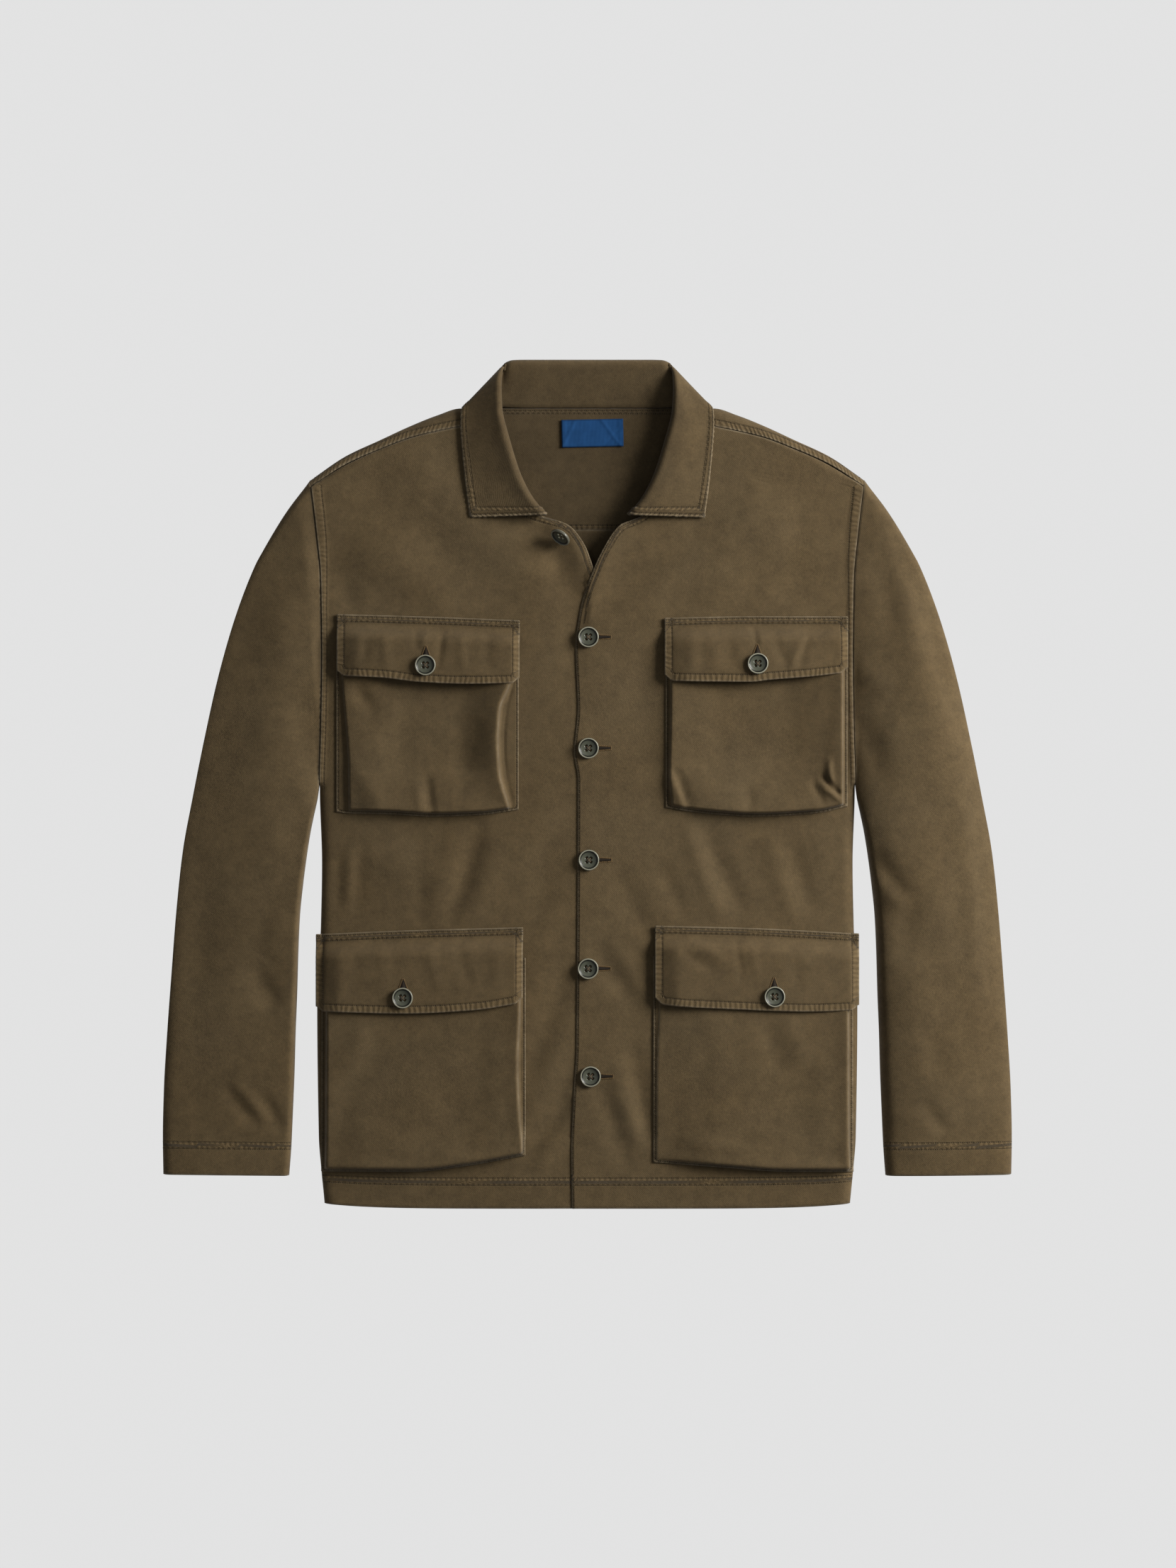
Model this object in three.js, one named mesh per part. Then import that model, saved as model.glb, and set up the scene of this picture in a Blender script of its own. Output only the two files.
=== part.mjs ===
// A four-pocket field jacket, buttoned up and laid flat on its back.
// Millimetres. X runs across the chest, Y from the hem to the collar, Z up from the surface it lies on.
// The wearer's left side is the +X side. Y 0 is midway between the hem and the top of the collar.
import * as THREE from "three";

// Cloth
const CLOTH = 2; // wall of the body, sleeves and pockets
const DOUBLE_CLOTH = 2.4; // wall of the collar and flaps, which are two plies
const SEAM_GAP = 0.35; // between two pieces that are sewn edge to edge
const LIE_GAP = 0.5; // between a panel and what lies on it

// Overall reach
const LENGTH = 791; // hem to top of the collar
const HEM_Y = -LENGTH / 2;

// A folded edge, such as a side seam laid flat: the cloth rounds up from the surface to the front
const FOLD_REACH = 10; // how far in from the edge the rounding ends
const FOLD_MIDDLE = 6; // height of the outermost line of the fold
const FOLD_TOP = 12; // height of the upper cloth where the rounding ends
const SIDE_SEAM = 0.03; // part of the fold's quarter turn left open for the side seam

// Body seams and lines
const UNDERARM_Y = -4;
const YOKE_SEAM_Y = 237; // where the back yoke is sewn to the back
const NECK_SEAM_Y = 349.6; // back neck seam
const NECK_HALF = 84; // half width of the back neck seam
const NECK_CLIMB = 12; // width over which the neckline climbs from the back to the front
const HEM_CORNER_LIFT = 4.5; // how much higher the hem is at the side seams

// Half width of the body at the side seams, and above the underarm at the armholes
const BODY_SIDE = [
  { y: -396, half: 245 },
  { y: -357, half: 248.5 },
  { y: -328, half: 250.5 },
  { y: -204, half: 252 },
  { y: -131, half: 248.5 },
  { y: -74, half: 247.5 },
  { y: -4, half: 249.5 },
  { y: 52, half: 248 },
  { y: 120, half: 247 },
  { y: 190, half: 248 },
  { y: 234, half: 252 },
  { y: 284, half: 258 },
];

// How much higher the front is along the middle than at its sides
const BODY_CROWN = [
  { y: -396, rise: 3 },
  { y: -300, rise: 6 },
  { y: -150, rise: 8.5 },
  { y: 20, rise: 9.5 },
  { y: 160, rise: 7.5 },
  { y: 250, rise: 4 },
  { y: 350, rise: 1.5 },
];

// The shoulder from the neck out: the folded edge of the yoke, and the seam in front of it
const SHOULDER = [
  { x: 78, fold: 347.5, seam: 343 },
  { x: 100, fold: 347.5, seam: 338 },
  { x: 118, fold: 346.5, seam: 333 },
  { x: 140, fold: 343.5, seam: 328.5 },
  { x: 165, fold: 334.5, seam: 322.5 },
  { x: 192, fold: 322, seam: 312.5 },
  { x: 226, fold: 304.5, seam: 297.5 },
  { x: 258, fold: 283, seam: 277 },
];

// Inner edge of each front, from the centre line towards its own side; above the neck it is the neckline
const OVER_EDGE = [
  { y: -396, inset: -14.2 },
  { y: -345, inset: -14.9 },
  { y: -280, inset: -12.2 },
  { y: -247, inset: -10.2 },
  { y: 4, inset: -8.9 },
  { y: 29, inset: -12.2 },
  { y: 70, inset: -8.9 },
  { y: 126, inset: -10.9 },
  { y: 163, inset: -6.3 },
  { y: 200, inset: 6.3 },
  { y: 223, inset: 17.5 },
  { y: 241, inset: 31 },
  { y: 248, inset: 48 },
  { y: 254, inset: 56 },
  { y: 268, inset: 68 },
  { y: 288, inset: 79 },
  { y: 312, inset: 88 },
  { y: 341, inset: 97 },
];
const UNDER_EDGE = [
  { y: -396, inset: -20 },
  { y: 150, inset: -20 },
  { y: 180, inset: -14.5 },
  { y: 202, inset: -5 },
  { y: 217, inset: 0 },
  { y: 237, inset: 13 },
  { y: 243, inset: 22 },
  { y: 248.5, inset: 42 },
  { y: 254, inset: 56 },
  { y: 268, inset: 68 },
  { y: 288, inset: 79 },
  { y: 312, inset: 88 },
  { y: 341, inset: 97 },
];
const LAP_FULL = 17; // the under front lies below the over front from here inwards
const LAP_START = 50; // and starts to dip here
const FRONT_TOP_Y = 334.5; // highest row of the fronts, beside the neck
const NARROW_FROM_Y = 275; // above here the front narrows to a strip beside the neck
const NARROW_TO_Y = 295;
const FRONT_ROWS = [
  -360, -320, -270, -220, -170, -130, -85, -45, -20, -9, UNDERARM_Y, -0.5, 6, 20, 50, 85, 120, 150, 180,
  203, 222, 237, 247.5, 254, 266, 277, 288, 300, 312, 323, 329.5, FRONT_TOP_Y,
];
const BACK_ROWS = [-330, -250, -170, -100, -45, -20, -9, UNDERARM_Y, -0.5, 6, 30, 90, 150, 195, YOKE_SEAM_Y];

// A sleeve from the armhole to the cuff: ends of each section at the inner and the outer fold
const SLEEVE = [
  { at: 0, innerX: 249.5, innerY: -4, outerX: 258, outerY: 283, crown: 0 },
  { at: 1, innerX: 251.5, innerY: -14, outerX: 281, outerY: 251, crown: 2.5 },
  { at: 2, innerX: 254.5, innerY: -28, outerX: 306, outerY: 206, crown: 5 },
  { at: 3, innerX: 258, innerY: -45, outerX: 326.5, outerY: 156, crown: 7 },
  { at: 4, innerX: 261.5, innerY: -67, outerX: 343.5, outerY: 99, crown: 8 },
  { at: 5, innerX: 265, innerY: -94, outerX: 357, outerY: 43, crown: 8.5 },
  { at: 6, innerX: 268, innerY: -124, outerX: 368, outerY: -12, crown: 8.5 },
  { at: 7, innerX: 269.5, innerY: -158, outerX: 377.5, outerY: -64, crown: 8.5 },
  { at: 8, innerX: 270.5, innerY: -194, outerX: 383.5, outerY: -120, crown: 8 },
  { at: 9, innerX: 272, innerY: -232, outerX: 388, outerY: -178, crown: 8 },
  { at: 10, innerX: 273, innerY: -268, outerX: 392, outerY: -233, crown: 7 },
  { at: 11, innerX: 274.5, innerY: -305, outerX: 395, outerY: -285, crown: 6 },
  { at: 12, innerX: 276, innerY: -338, outerX: 396, outerY: -328, crown: 5 },
  { at: 13, innerX: 278, innerY: -365, outerX: 395.5, outerY: -364, crown: 4 },
];
const SLEEVE_ROWS = [0, 0.35, 0.8, 1.5, 2.3, 3.2, 4.1, 5, 6, 7, 8, 9, 10, 11, 12, 13];
const ARMHOLE_FADE = 2; // sections over which the armhole's curve straightens out
const ARMHOLE_GAP = 0.6; // round the armhole seam

// Largest soft ridges (rise above 0) and troughs in the upper cloth, as lines with a reach to each side
const DRAPE = [
  { fromX: -150, fromY: 262, toX: -205, toY: 190, reach: 24, rise: 2.2 },
  { fromX: 150, fromY: 275, toX: 205, toY: 200, reach: 26, rise: 2.5 },
  { fromX: -225, fromY: -60, toX: -120, toY: -95, reach: 20, rise: 1.8 },
  { fromX: 215, fromY: -65, toX: 110, toY: -95, reach: 20, rise: -1.8 },
  { fromX: -285, fromY: 200, toX: -345, toY: -60, reach: 22, rise: 3 },
  { fromX: 285, fromY: 200, toX: 352, toY: -60, reach: 22, rise: 3.5 },
  { fromX: -290, fromY: -60, toX: -300, toY: -250, reach: 20, rise: -2 },
  { fromX: 300, fromY: -110, toX: 355, toY: -260, reach: 20, rise: -2 },
];

// Collar sections from the centre of the back to the front end, at its neck seam, roll line and outer edge.
// turn is 90 where the stand lies over the leaf and -90 where the leaf lies over the stand, and
// over is how far the leaf has passed from below the yoke to above it
const COLLAR_NECK = [
  { at: 0, x: 0, y: 350.9, z: 3.9 },
  { at: 1, x: 30, y: 350.9, z: 3.9 },
  { at: 2, x: 54, y: 350.9, z: 3.9 },
  { at: 3, x: 66, y: 351.2, z: 4 },
  { at: 4, x: 74, y: 351.6, z: 4.4 },
  { at: 5, x: 82, y: 352, z: 5.4 },
  { at: 6, x: 88.5, y: 352, z: 7.6 },
  { at: 7, x: 93.5, y: 350.5, z: 11.6 },
  { at: 8, x: 95.5, y: 346, z: 14.6 },
  { at: 9, x: 92.4, y: 337.5, z: 14.4 },
  { at: 10, x: 86, y: 312, z: 13 },
  { at: 11, x: 77, y: 288, z: 12.5 },
  { at: 12, x: 66, y: 268.5, z: 12.5 },
  { at: 13, x: 54, y: 254.5, z: 12.8 },
];
const COLLAR_ROLL = [
  { at: 0, x: 0, y: 394.3, z: 5.7, turn: 90 },
  { at: 1, x: 32, y: 394.3, z: 5.7, turn: 90 },
  { at: 2, x: 58, y: 394.3, z: 5.7, turn: 90 },
  { at: 3, x: 69, y: 394, z: 5.7, turn: 80 },
  { at: 4, x: 74, y: 392.6, z: 5.9, turn: 45 },
  { at: 5, x: 77, y: 390.6, z: 6.4, turn: 0 },
  { at: 6, x: 79, y: 387, z: 8.5, turn: -45 },
  { at: 7, x: 80.5, y: 380, z: 10.5, turn: -80 },
  { at: 8, x: 80.8, y: 368, z: 12, turn: -90 },
  { at: 9, x: 80, y: 349, z: 12.3, turn: -90 },
  { at: 10, x: 72, y: 316, z: 12.5, turn: -90 },
  { at: 11, x: 62, y: 285.5, z: 12.6, turn: -90 },
  { at: 12, x: 50.5, y: 264, z: 12.8, turn: -90 },
  { at: 13, x: 38.5, y: 250.2, z: 13, turn: -90 },
];
const COLLAR_EDGE = [
  { at: 0, x: 0, y: 334, over: 0 },
  { at: 1, x: 34, y: 334, over: 0 },
  { at: 2, x: 68, y: 336, over: 0 },
  { at: 3, x: 94, y: 341, over: 0 },
  { at: 4, x: 108, y: 347.5, over: 0.12 },
  { at: 5, x: 112.8, y: 351.4, over: 0.5 },
  { at: 6, x: 115.6, y: 349.5, over: 0.88 },
  { at: 7, x: 117.3, y: 343, over: 1 },
  { at: 8, x: 117.5, y: 333, over: 1 },
  { at: 9, x: 116.5, y: 316, over: 1 },
  { at: 10, x: 114.5, y: 294, over: 1 },
  { at: 11, x: 112.5, y: 275, over: 1 },
  { at: 12, x: 110.5, y: 260, over: 1 },
  { at: 13, x: 109, y: 248, over: 1 },
];
const ROLL_RADIUS = 4.4; // of the collar's roll, to the middle of its cloth
const COLLAR_UNDER_Z = 1.3; // middle of the leaf's cloth where it lies under the yoke
const YOKE_OVER_COLLAR = 2.9; // how far the yoke is lifted where the leaf lies under it
const YOKE_RAMP = { from: 300, to: 330 }; // stretch over which it is lifted
const LEAF_STOPS = [0.16, 0.4, 0.7, 1]; // places across the leaf

// Pockets: outline, mouth and flap. Flap columns are its two ends, its top and its lower edge
const POCKETS = [
  {
    name: "chest_pocket_right",
    left: -233.5, right: -64, bottom: -28,
    flapLeft: -233, flapRight: -63, flapTop: 154.5, flapBottom: 94,
    buttonX: -149.8, buttonY: 110,
  },
  {
    name: "chest_pocket_left",
    left: 73, right: 242, bottom: -28,
    flapLeft: 72, flapRight: 242.5, flapTop: 154.5, flapBottom: 96,
    buttonX: 157.7, buttonY: 111.5,
  },
  {
    name: "lower_pocket_right",
    left: -247, right: -57.5, bottom: -359,
    flapLeft: -252.5, flapRight: -60, flapTop: -137, flapBottom: -211,
    buttonX: -170.9, buttonY: -198.8,
  },
  {
    name: "lower_pocket_left",
    left: 61.5, right: 247, bottom: -359,
    flapLeft: 63, flapRight: 252.8, flapTop: -135.5, flapBottom: -209,
    buttonX: 173.3, buttonY: -197.7,
  },
];
const POCKET_RISE = 8.5; // how far the bellows lifts the pocket's face off the body
const GUSSET_START = 4; // strip of gusset that lies flat outside the pocket's face
const GUSSET_END = 11; // where the face has risen all the way
const BOTTOM_START = 1;
const BOTTOM_END = 7;
const MOUTH_DROP = 25; // the mouth lies this far below the flap's top edge
const FLAP_BAND = 6; // stitched band at the top of the flap
const FLAP_END_DROOP = 0.62; // share of the lift that is left at the flap's ends
const FLAP_CORNER = 14; // how far in from its ends the flap's lower corners are cut back
const FLAP_CORNER_LIFT = 3.5;

// Buttons: 30 line, four-hole, with a raised rim
const BUTTON_PROFILE = [
  { radius: 0, height: 0 },
  { radius: 7.4, height: 0 },
  { radius: 9.4, height: 0.9 },
  { radius: 9.7, height: 2 },
  { radius: 8.8, height: 3.2 },
  { radius: 7.3, height: 2.9 },
  { radius: 5.4, height: 1.9 },
  { radius: 0, height: 1.8 },
];
const BUTTON_SIDES = 16;
const FRONT_BUTTONS = [
  { x: 1, y: 136.3 },
  { x: 1, y: 33 },
  { x: 1.4, y: -71 },
  { x: 0.7, y: -172 },
  { x: 3, y: -272.3 },
];
const NECK_BUTTON = { x: -25, y: 230, tilt: 28, turn: 35 };

// Woven neck label, on the inside of the yoke
const LABEL = { x: 4.8, y: 327, width: 57.5, height: 25.5, turn: 1.2, thickness: 0.8 };

// Materials
const clothLook = new THREE.MeshStandardMaterial({ color: 0x5e4e37, roughness: 0.92, metalness: 0 });
const buttonLook = new THREE.MeshStandardMaterial({ color: 0x4b5548, roughness: 0.4, metalness: 0 });
const labelLook = new THREE.MeshStandardMaterial({ color: 0x24507f, roughness: 0.8, metalness: 0 });

const { lerp, smoothstep, degToRad, clamp } = THREE.MathUtils;
const QUARTER_TURN = Math.PI / 2;

// A smooth line through one column of a table by another, without overshoot
function through(rows, from, to) {
  const xs = rows.map((row) => row[from]);
  const ys = rows.map((row) => row[to]);
  const slopes = xs.slice(1).map((x, i) => (ys[i + 1] - ys[i]) / (x - xs[i]));
  const tangents = xs.map((_, i) => {
    const before = slopes[i - 1] ?? slopes[0];
    const after = slopes[i] ?? slopes[slopes.length - 1];
    return before * after <= 0 ? 0 : (2 * before * after) / (before + after);
  });
  return (x) => {
    if (x <= xs[0]) return ys[0];
    if (x >= xs[xs.length - 1]) return ys[ys.length - 1];
    const i = xs.findIndex((end) => end > x) - 1;
    const width = xs[i + 1] - xs[i];
    const t = (x - xs[i]) / width;
    const bend = t * t * (3 - 2 * t);
    const start = t * (1 - t) * (1 - t) * width * tangents[i];
    const end = t * t * (1 - t) * width * tangents[i + 1];
    return lerp(ys[i], ys[i + 1], bend) + start - end;
  };
}

// Where a rising or falling function reaches a value, between two places
function whereIs(fn, value, low, high) {
  const rising = fn(high) > fn(low);
  for (let i = 0; i < 40; i += 1) {
    const middle = (low + high) / 2;
    if (fn(middle) < value === rising) low = middle;
    else high = middle;
  }
  return (low + high) / 2;
}

const halfWidth = through(BODY_SIDE, "y", "half");
const crownRise = through(BODY_CROWN, "y", "rise");
const shoulderFold = through(SHOULDER, "x", "fold");
const shoulderSeam = through(SHOULDER, "x", "seam");

// Quarter circle: 0 on a folded edge, 1 from the fold's reach inwards
function quarter(share) {
  const s = clamp(share, 0, 1);
  return Math.sqrt(s * (2 - s));
}

// 0 on the body's folded edges, 1 where the cloth has rounded over
function openness(x, y) {
  const across = Math.max(0, halfWidth(y) - Math.abs(x));
  const fromSide = Math.hypot(across, Math.max(0, y - UNDERARM_Y));
  const fromShoulder = shoulderFold(Math.abs(x)) - y;
  return quarter(fromSide / FOLD_REACH) * quarter(fromShoulder / FOLD_REACH);
}

function drape(x, y) {
  let rise = 0;
  for (const line of DRAPE) {
    const along = new THREE.Vector2(line.toX - line.fromX, line.toY - line.fromY);
    const start = new THREE.Vector2(x - line.fromX, y - line.fromY);
    const share = clamp(start.dot(along) / along.lengthSq(), 0, 1);
    const away = start.distanceTo(along.multiplyScalar(share)) / line.reach;
    const ends = Math.sin(Math.PI * clamp(share, 0.02, 0.98));
    rise += line.rise * Math.exp(-away * away) * ends;
  }
  return rise;
}

// Height of the front without its rounded edges
function crown(x, y) {
  const share = clamp(Math.abs(x) / halfWidth(y), 0, 1);
  return FOLD_TOP + crownRise(y) * (1 - share * share);
}

// Outer faces of the body: the front's upper face and the back's lower face
function frontHeight(x, y) {
  const open = openness(x, y);
  return FOLD_MIDDLE + (crown(x, y) - FOLD_MIDDLE + drape(x, y)) * open;
}
function yokeRamp(y) {
  return YOKE_OVER_COLLAR * clamp((y - YOKE_RAMP.from) / (YOKE_RAMP.to - YOKE_RAMP.from), 0, 1);
}
function backHeight(x, y) {
  const overLeaf = yokeRamp(y) * (1 - smoothstep(Math.abs(x), 119, 135));
  return lerp(FOLD_MIDDLE, overLeaf, openness(x, y));
}

// How far the hem is lifted above a straight line, fading out above it
function hemLift(x, y) {
  const share = Math.abs(x) / halfWidth(HEM_Y);
  return HEM_CORNER_LIFT * share ** 6 * (1 - smoothstep(y, HEM_Y, HEM_Y + 60));
}

// Unit normal of a surface at a place, from small steps that stay inside its range
const STEP = 1e-3;
function normalAt(surface, u, v, uEnd, vEnd) {
  const here = surface(u, v);
  const du = u + STEP > uEnd ? -STEP : STEP;
  const dv = v + STEP > vEnd ? -STEP : STEP;
  const alongU = surface(u + du, v).sub(here).multiplyScalar(Math.sign(du));
  const alongV = surface(u, v + dv).sub(here).multiplyScalar(Math.sign(dv));
  return alongU.cross(alongV).normalize();
}

// Closed solid between a grid of points and the same grid moved along its normals
function slab(points, normals, low, high) {
  const rows = points.length;
  const columns = points[0].length;
  const position = [];
  for (const move of [high, low])
    points.forEach((row, j) =>
      row.forEach((point, i) => {
        const moved = point.clone().addScaledVector(normals[j][i], move);
        position.push(moved.x, moved.y, moved.z);
      }),
    );
  const index = [];
  const under = rows * columns;
  const quad = (a, b, c, d) => index.push(a, b, c, a, c, d);
  for (let j = 0; j < rows - 1; j += 1)
    for (let i = 0; i < columns - 1; i += 1) {
      const here = j * columns + i;
      quad(here, here + 1, here + 1 + columns, here + columns);
      quad(under + here, under + here + columns, under + here + 1 + columns, under + here + 1);
    }
  const last = (rows - 1) * columns;
  for (let i = 0; i < columns - 1; i += 1) {
    quad(under + i, under + i + 1, i + 1, i);
    quad(last + i, last + i + 1, under + last + i + 1, under + last + i);
  }
  for (let j = 0; j < rows - 1; j += 1) {
    const start = j * columns;
    const end = start + columns - 1;
    quad(under + start, start, start + columns, under + start + columns);
    quad(end, under + end, under + end + columns, end + columns);
  }
  return facingOut(position, index);
}

// Geometry with its triangles turned so that they face out
function facingOut(position, index) {
  const corner = (i) => new THREE.Vector3().fromArray(position, 3 * index[i]);
  let volume = 0;
  for (let i = 0; i < index.length; i += 3) volume += corner(i).dot(corner(i + 1).cross(corner(i + 2)));
  if (volume < 0) index.reverse();
  const geometry = new THREE.BufferGeometry();
  geometry.setAttribute("position", new THREE.Float32BufferAttribute(position, 3));
  geometry.setIndex(index);
  geometry.computeVertexNormals();
  return geometry;
}

// Cloth wall on a surface. outward is 1 or -1, by which way the surface's own normal points
function wall(surface, us, vs, outward, thickness = CLOTH) {
  const uEnd = us[us.length - 1];
  const vEnd = vs[vs.length - 1];
  const points = vs.map((v) => us.map((u) => surface(u, v)));
  const normals = vs.map((v) => us.map((u) => normalAt(surface, u, v, uEnd, vEnd).multiplyScalar(outward)));
  return slab(points, normals, -thickness, 0);
}

function named(name, geometry, look) {
  const mesh = new THREE.Mesh(geometry, look);
  mesh.name = name;
  return mesh;
}

const FOLD_STOPS = [SIDE_SEAM, 0.3, 0.6, 1];
const roundIn = (turn) => FOLD_REACH * (1 - Math.cos(turn * QUARTER_TURN));

// Fronts. u 0 to 1 rounds the side fold and 1 to 2 runs on to the inner edge
function frontOuter(y) {
  const seam = y + SEAM_GAP;
  const armhole = halfWidth(y);
  if (seam <= shoulderSeam(armhole)) return armhole;
  return whereIs(shoulderSeam, seam, NECK_HALF, armhole);
}
// How far the under front dips below the over front, by its distance from the centre line
function lapDip(reach) {
  return (CLOTH + LIE_GAP) * (1 - smoothstep(reach, LAP_FULL, LAP_START));
}
function frontSurface(side, edge, lap) {
  const inset = through(edge, "y", "inset");
  return (u, y) => {
    const outer = frontOuter(y);
    const inner = Math.min(inset(y), outer - 6);
    const rounded = u < 1 ? outer - roundIn(u) : lerp(outer - FOLD_REACH, inner, u - 1);
    const even = lerp(outer, inner, u / 2);
    const reach = lerp(rounded, even, smoothstep(y, NARROW_FROM_Y, NARROW_TO_Y));
    const x = side * reach;
    return new THREE.Vector3(x, y + hemLift(x, y), frontHeight(x, y) - lap * lapDip(reach));
  };
}
const FRONT_STOPS = [...FOLD_STOPS, 1.2, 1.4, 1.6, 1.76, 1.86, 1.93, 2];
function front(name, side, edge, lap) {
  const shape = wall(frontSurface(side, edge, lap), FRONT_STOPS, [HEM_Y, ...FRONT_ROWS], -side);
  return named(name, shape, clothLook);
}

// Back. u 0 to 1 and 3 to 4 round the side folds
function backSurface(u, y) {
  const half = halfWidth(y);
  const near = Math.min(u, 4 - u);
  const inwards = near < 1 ? roundIn(near) : lerp(FOLD_REACH, half, near - 1);
  const x = Math.sign(u - 2) * (half - inwards);
  return new THREE.Vector3(x, y + hemLift(x, y), backHeight(x, y));
}
function back() {
  const rights = [...FOLD_STOPS, 1.3, 1.6, 1.85].map((u) => 4 - u);
  const stops = [...FOLD_STOPS, 1.3, 1.6, 1.85, ...rights.reverse()];
  return named("back", wall(backSurface, stops, [HEM_Y, ...BACK_ROWS], -1), clothLook);
}

// Yoke. row 0 to 1 runs up the back below the collar's leaf. Above it s 0 to 1 runs on up the back, 1 to 1.5
// rounds to the shoulder's edge and 1.5 to 3 comes down in front. Inside the neck only the first stretch
// is left, and it stops at the neck seam
function yokeSurface(x, row) {
  const climb = smoothstep(Math.abs(x), NECK_HALF, NECK_HALF + NECK_CLIMB);
  const s = (row - 1) * lerp(1, 3, climb);
  const fold = shoulderFold(Math.abs(x));
  const lowEnd = Math.min(YOKE_RAMP.to, fold - FOLD_REACH - 4);
  const flatEnd = lerp(NECK_SEAM_Y, fold - FOLD_REACH, climb);
  const drop = fold - shoulderSeam(Math.abs(x)) - SEAM_GAP;
  if (s <= 1) {
    const y = row < 1 ? lerp(YOKE_SEAM_Y + SEAM_GAP, lowEnd, row) : lerp(lowEnd, flatEnd, s);
    return new THREE.Vector3(x, y, lerp(yokeRamp(y), backHeight(x, y), climb));
  }
  if (s <= 1.5) {
    const y = lerp(flatEnd, fold, Math.sin((s - 1) * 2 * QUARTER_TURN));
    return new THREE.Vector3(x, y, backHeight(x, y));
  }
  const y = fold - drop * (1 - Math.cos(((s - 1.5) / 1.5) * QUARTER_TURN));
  return new THREE.Vector3(x, y, frontHeight(x, y));
}
function yoke() {
  const ends = halfWidth(YOKE_SEAM_Y);
  const xs = [];
  for (const x of [1, 0.94, 0.84, 0.72, 0.6, 0.5]) xs.push(-ends * x);
  for (const x of [112, 104, 98, 95, 92, 89, 86, 82, 60, 30]) xs.push(-x);
  const all = [...xs, 0, ...xs.map((x) => -x).reverse()];
  const rows = [0, 0.35, 0.675, 0.84, 1, 1.2, 1.333, 1.4, 1.45, 1.5, 1.57, 1.66, 1.8, 2];
  const armhole = (x, row) => {
    const point = yokeSurface(x, row);
    const widen = smoothstep(Math.abs(x) / ends, 0.84, 1);
    point.x = Math.sign(x) * lerp(Math.abs(x), halfWidth(point.y), widen);
    return point;
  };
  return named("back_yoke", wall(armhole, all, rows, -1), clothLook);
}

// Sleeve, cut in two and sewn along its folded edges. u 0 to 3 goes over the top sleeve from the inner fold
// to the outer, and 3 to 6 back along the under sleeve
const TOP_STOPS = [SIDE_SEAM, 0.35, 0.65, 1, 1.2, 1.4, 1.6, 1.8, 2, 2.35, 2.65, 3 - SIDE_SEAM];
const UNDER_STOPS = [3 + SIDE_SEAM, 3.35, 3.65, 4, 4.33, 4.67, 5, 5.35, 5.65, 6 - SIDE_SEAM];
function sleevePiece(name, side, stops) {
  const [innerX, innerY, outerX, outerY, rise] = ["innerX", "innerY", "outerX", "outerY", "crown"].map(
    (column) => through(SLEEVE, "at", column),
  );
  const surface = (turn, at) => {
    const over = Math.min(turn, 6 - turn);
    const start = new THREE.Vector2(innerX(at), innerY(at));
    const end = new THREE.Vector2(outerX(at), outerY(at));
    const width = start.distanceTo(end);
    let inwards = lerp(FOLD_REACH, width - FOLD_REACH, over - 1);
    if (over < 1) inwards = roundIn(over);
    if (over > 2) inwards = width - roundIn(3 - over);
    const place = start.lerp(end, inwards / width);
    const open = quarter(inwards / FOLD_REACH) * quarter((width - inwards) / FOLD_REACH);
    const armhole = Math.max(0, 1 - at / ARMHOLE_FADE);
    const straight = lerp(innerX(at), outerX(at), inwards / width);
    const curved = halfWidth(place.y) + (straight - lerp(innerX(0), outerX(0), inwards / width));
    const x = side * (lerp(straight, curved, armhole) + ARMHOLE_GAP * Math.max(0, 1 - at));
    const share = inwards / width;
    const top = FOLD_TOP + rise(at) * 4 * share * (1 - share);
    const upper = FOLD_MIDDLE + (top - FOLD_MIDDLE + drape(x, place.y)) * open;
    const lower = lerp(FOLD_MIDDLE, 0, open);
    return new THREE.Vector3(x, place.y, turn <= 3 ? upper : lower);
  };
  return named(name, wall(surface, stops, SLEEVE_ROWS, -side), clothLook);
}

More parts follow.
